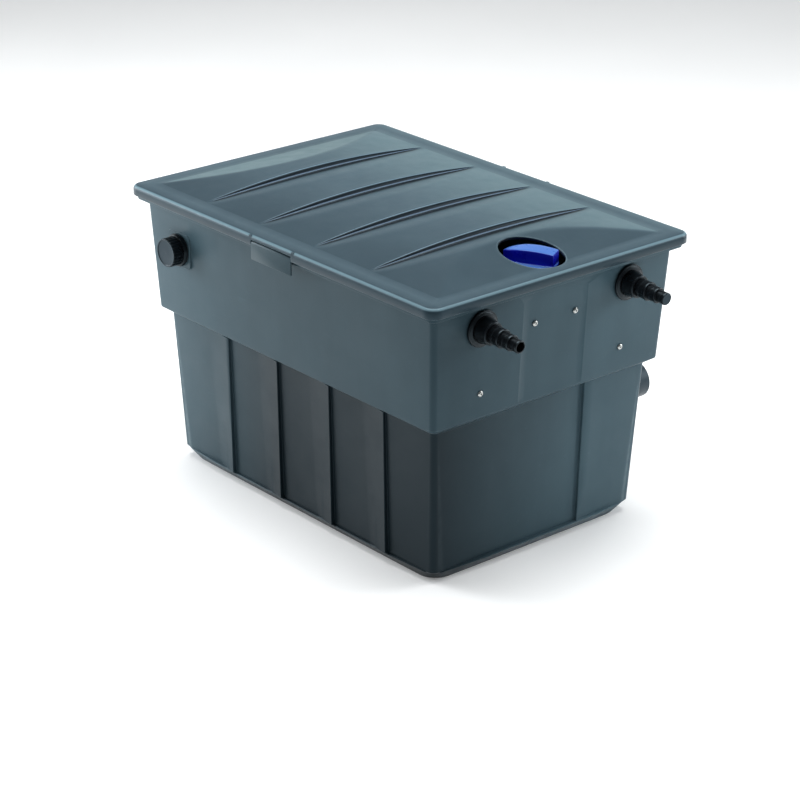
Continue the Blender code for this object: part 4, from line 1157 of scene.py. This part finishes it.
def finish_cad_nodes():
    """Gives each CAD node that stays its material, and softens its edges."""
    paints = {entry["node"]: entry["material_slot"] for entry in frame["record"]["subparts"]}
    paints = {name: "inner" if slot == "shell" else slot for name, slot in paints.items()}
    paints["sieve_sleeve"] = "sieve"
    for name, node in frame["nodes"].items():
        if node.hide_render:
            continue
        node.data.materials.clear()
        node.data.materials.append(MATERIALS[paints[name]])
        weld = node.modifiers.new("weld", "WELD")
        weld.merge_threshold = 0.00002
        low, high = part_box(name)
        bevel = node.modifiers.new("bevel", "BEVEL")
        bevel.width = min(0.0008, min(high - low) * 0.12)
        bevel.segments = 2
        bevel.limit_method = "ANGLE"
        bevel.angle_limit = math.radians(35)
        bevel.harden_normals = False


# Camera, light and floor


def make_camera():
    """Above and to the right of the corner between the port side and the inlet end."""
    azimuth, elevation, roll = math.radians(49.307), math.radians(23.184), math.radians(0.344)
    level = Vector((math.sin(azimuth), -math.cos(azimuth), 0)) * math.cos(elevation)
    back = level + Vector((0, 0, math.sin(elevation)))
    right = Vector((math.cos(azimuth), math.sin(azimuth), 0))
    up = back.cross(right)
    turned_right = right * math.cos(roll) + up * math.sin(roll)
    turned_up = up * math.cos(roll) - right * math.sin(roll)
    data = bpy.data.cameras.new("camera")
    data.lens = 116.25
    data.sensor_width = 36.0
    data.clip_end = 50.0
    camera = linked("camera", data)
    place = Matrix.Translation((3.7313, -3.2148, 2.2943))
    camera.matrix_world = place @ Matrix((turned_right, turned_up, back)).transposed().to_4x4()
    bpy.context.scene.camera = camera


def area_light(name, place, target, size, power, colour=(1, 1, 1)):
    data = bpy.data.lights.new(name, "AREA")
    data.shape = "RECTANGLE"
    data.size, data.size_y = size
    data.energy = power
    data.color = colour
    lamp = linked(name, data)
    lamp.location = place
    lamp.rotation_euler = (Vector(target) - Vector(place)).to_track_quat("-Z", "Y").to_euler()


def make_studio():
    world = bpy.data.worlds.new("studio")
    world.use_nodes = True
    background = world.node_tree.nodes["Background"]
    background.inputs["Color"].default_value = (0.93, 0.97, 1.0, 1.0)
    background.inputs["Strength"].default_value = 0.20
    bpy.context.scene.world = world
    area_light("overhead", (-0.2, 0.2, 3.6), (0, 0, 0.5), (3.2, 2.8), 200)
    area_light("left_box", (-2.9, -1.6, 1.2), (-0.1, -0.3, 0.35), (1.6, 1.8), 108, (0.96, 0.98, 1.0))
    area_light("right_box", (1.8, 3.0, 1.5), (0.4, 0.1, 0.35), (1.6, 1.8), 76, (0.96, 0.98, 1.0))
    bpy.context.scene.view_settings.view_transform = "Standard"
    make_floor()


def make_floor():
    """A pale sweep: level under the object, and curving up behind it."""
    profile = [(-9.0, 0.0), (6.0, 0.0)]
    for k in range(1, 13):
        angle = math.pi / 2 * k / 12
        profile.append((6.0 + 2.5 * math.sin(angle), 2.5 * (1 - math.cos(angle))))
    profile.append((8.5, 4.4))
    turn = Matrix.Rotation(math.radians(49.3), 4, "Z")
    points = [turn @ Vector((x, y, z)) for y, z in profile for x in (-12.0, 12.0)]
    faces = [(2 * k, 2 * k + 1, 2 * k + 3, 2 * k + 2) for k in range(len(profile) - 1)]
    mesh = bpy.data.meshes.new("floor")
    mesh.from_pydata([tuple(point) for point in points], [], faces)
    mesh.shade_smooth()
    floor = linked("floor", mesh)
    g = Graph("floor_paper")
    colour = g.blend(g.spread(g.noise(1.5, 2.0), 0.3, 0.7), (0.86, 0.87, 0.87, 1.0), (0.89, 0.90, 0.90, 1.0))
    g.shader.inputs["Emission Color"].default_value = (1, 1, 1, 1)
    g.shader.inputs["Emission Strength"].default_value = 0.16
    mesh.materials.append(g.finish(colour, g.spread(g.noise(3.0), 0.3, 0.7, 0.5, 0.6)))


make_camera()
make_studio()
MATERIALS = make_materials()
SEATS = seat_frames()
make_tub(SEATS)
make_lid()
make_flaps()
for inlet in ("left", "right"):
    make_inlet(inlet, SEATS["inlet_" + inlet])
make_screws()
make_port(SEATS["port"])
make_stub("drain", "grey", SEATS["drain"], DRAIN_R, 0.003, (-0.030, DRAIN_END), (0.0470, 0.0070))
make_stub("outlet", "black", SEATS["outlet"], OUTLET_R, 0.0035, (-0.035, OUTLET_END), (0.0670, 0.0075), 96)
GRIP_PLACE = Matrix.Translation((GRIP_X, 0, 0)) @ Matrix.Rotation(GRIP_TURN, 4, "Z")
make_grip(GRIP_PLACE)
make_bristles(GRIP_PLACE)
make_foam()
finish_cad_nodes()
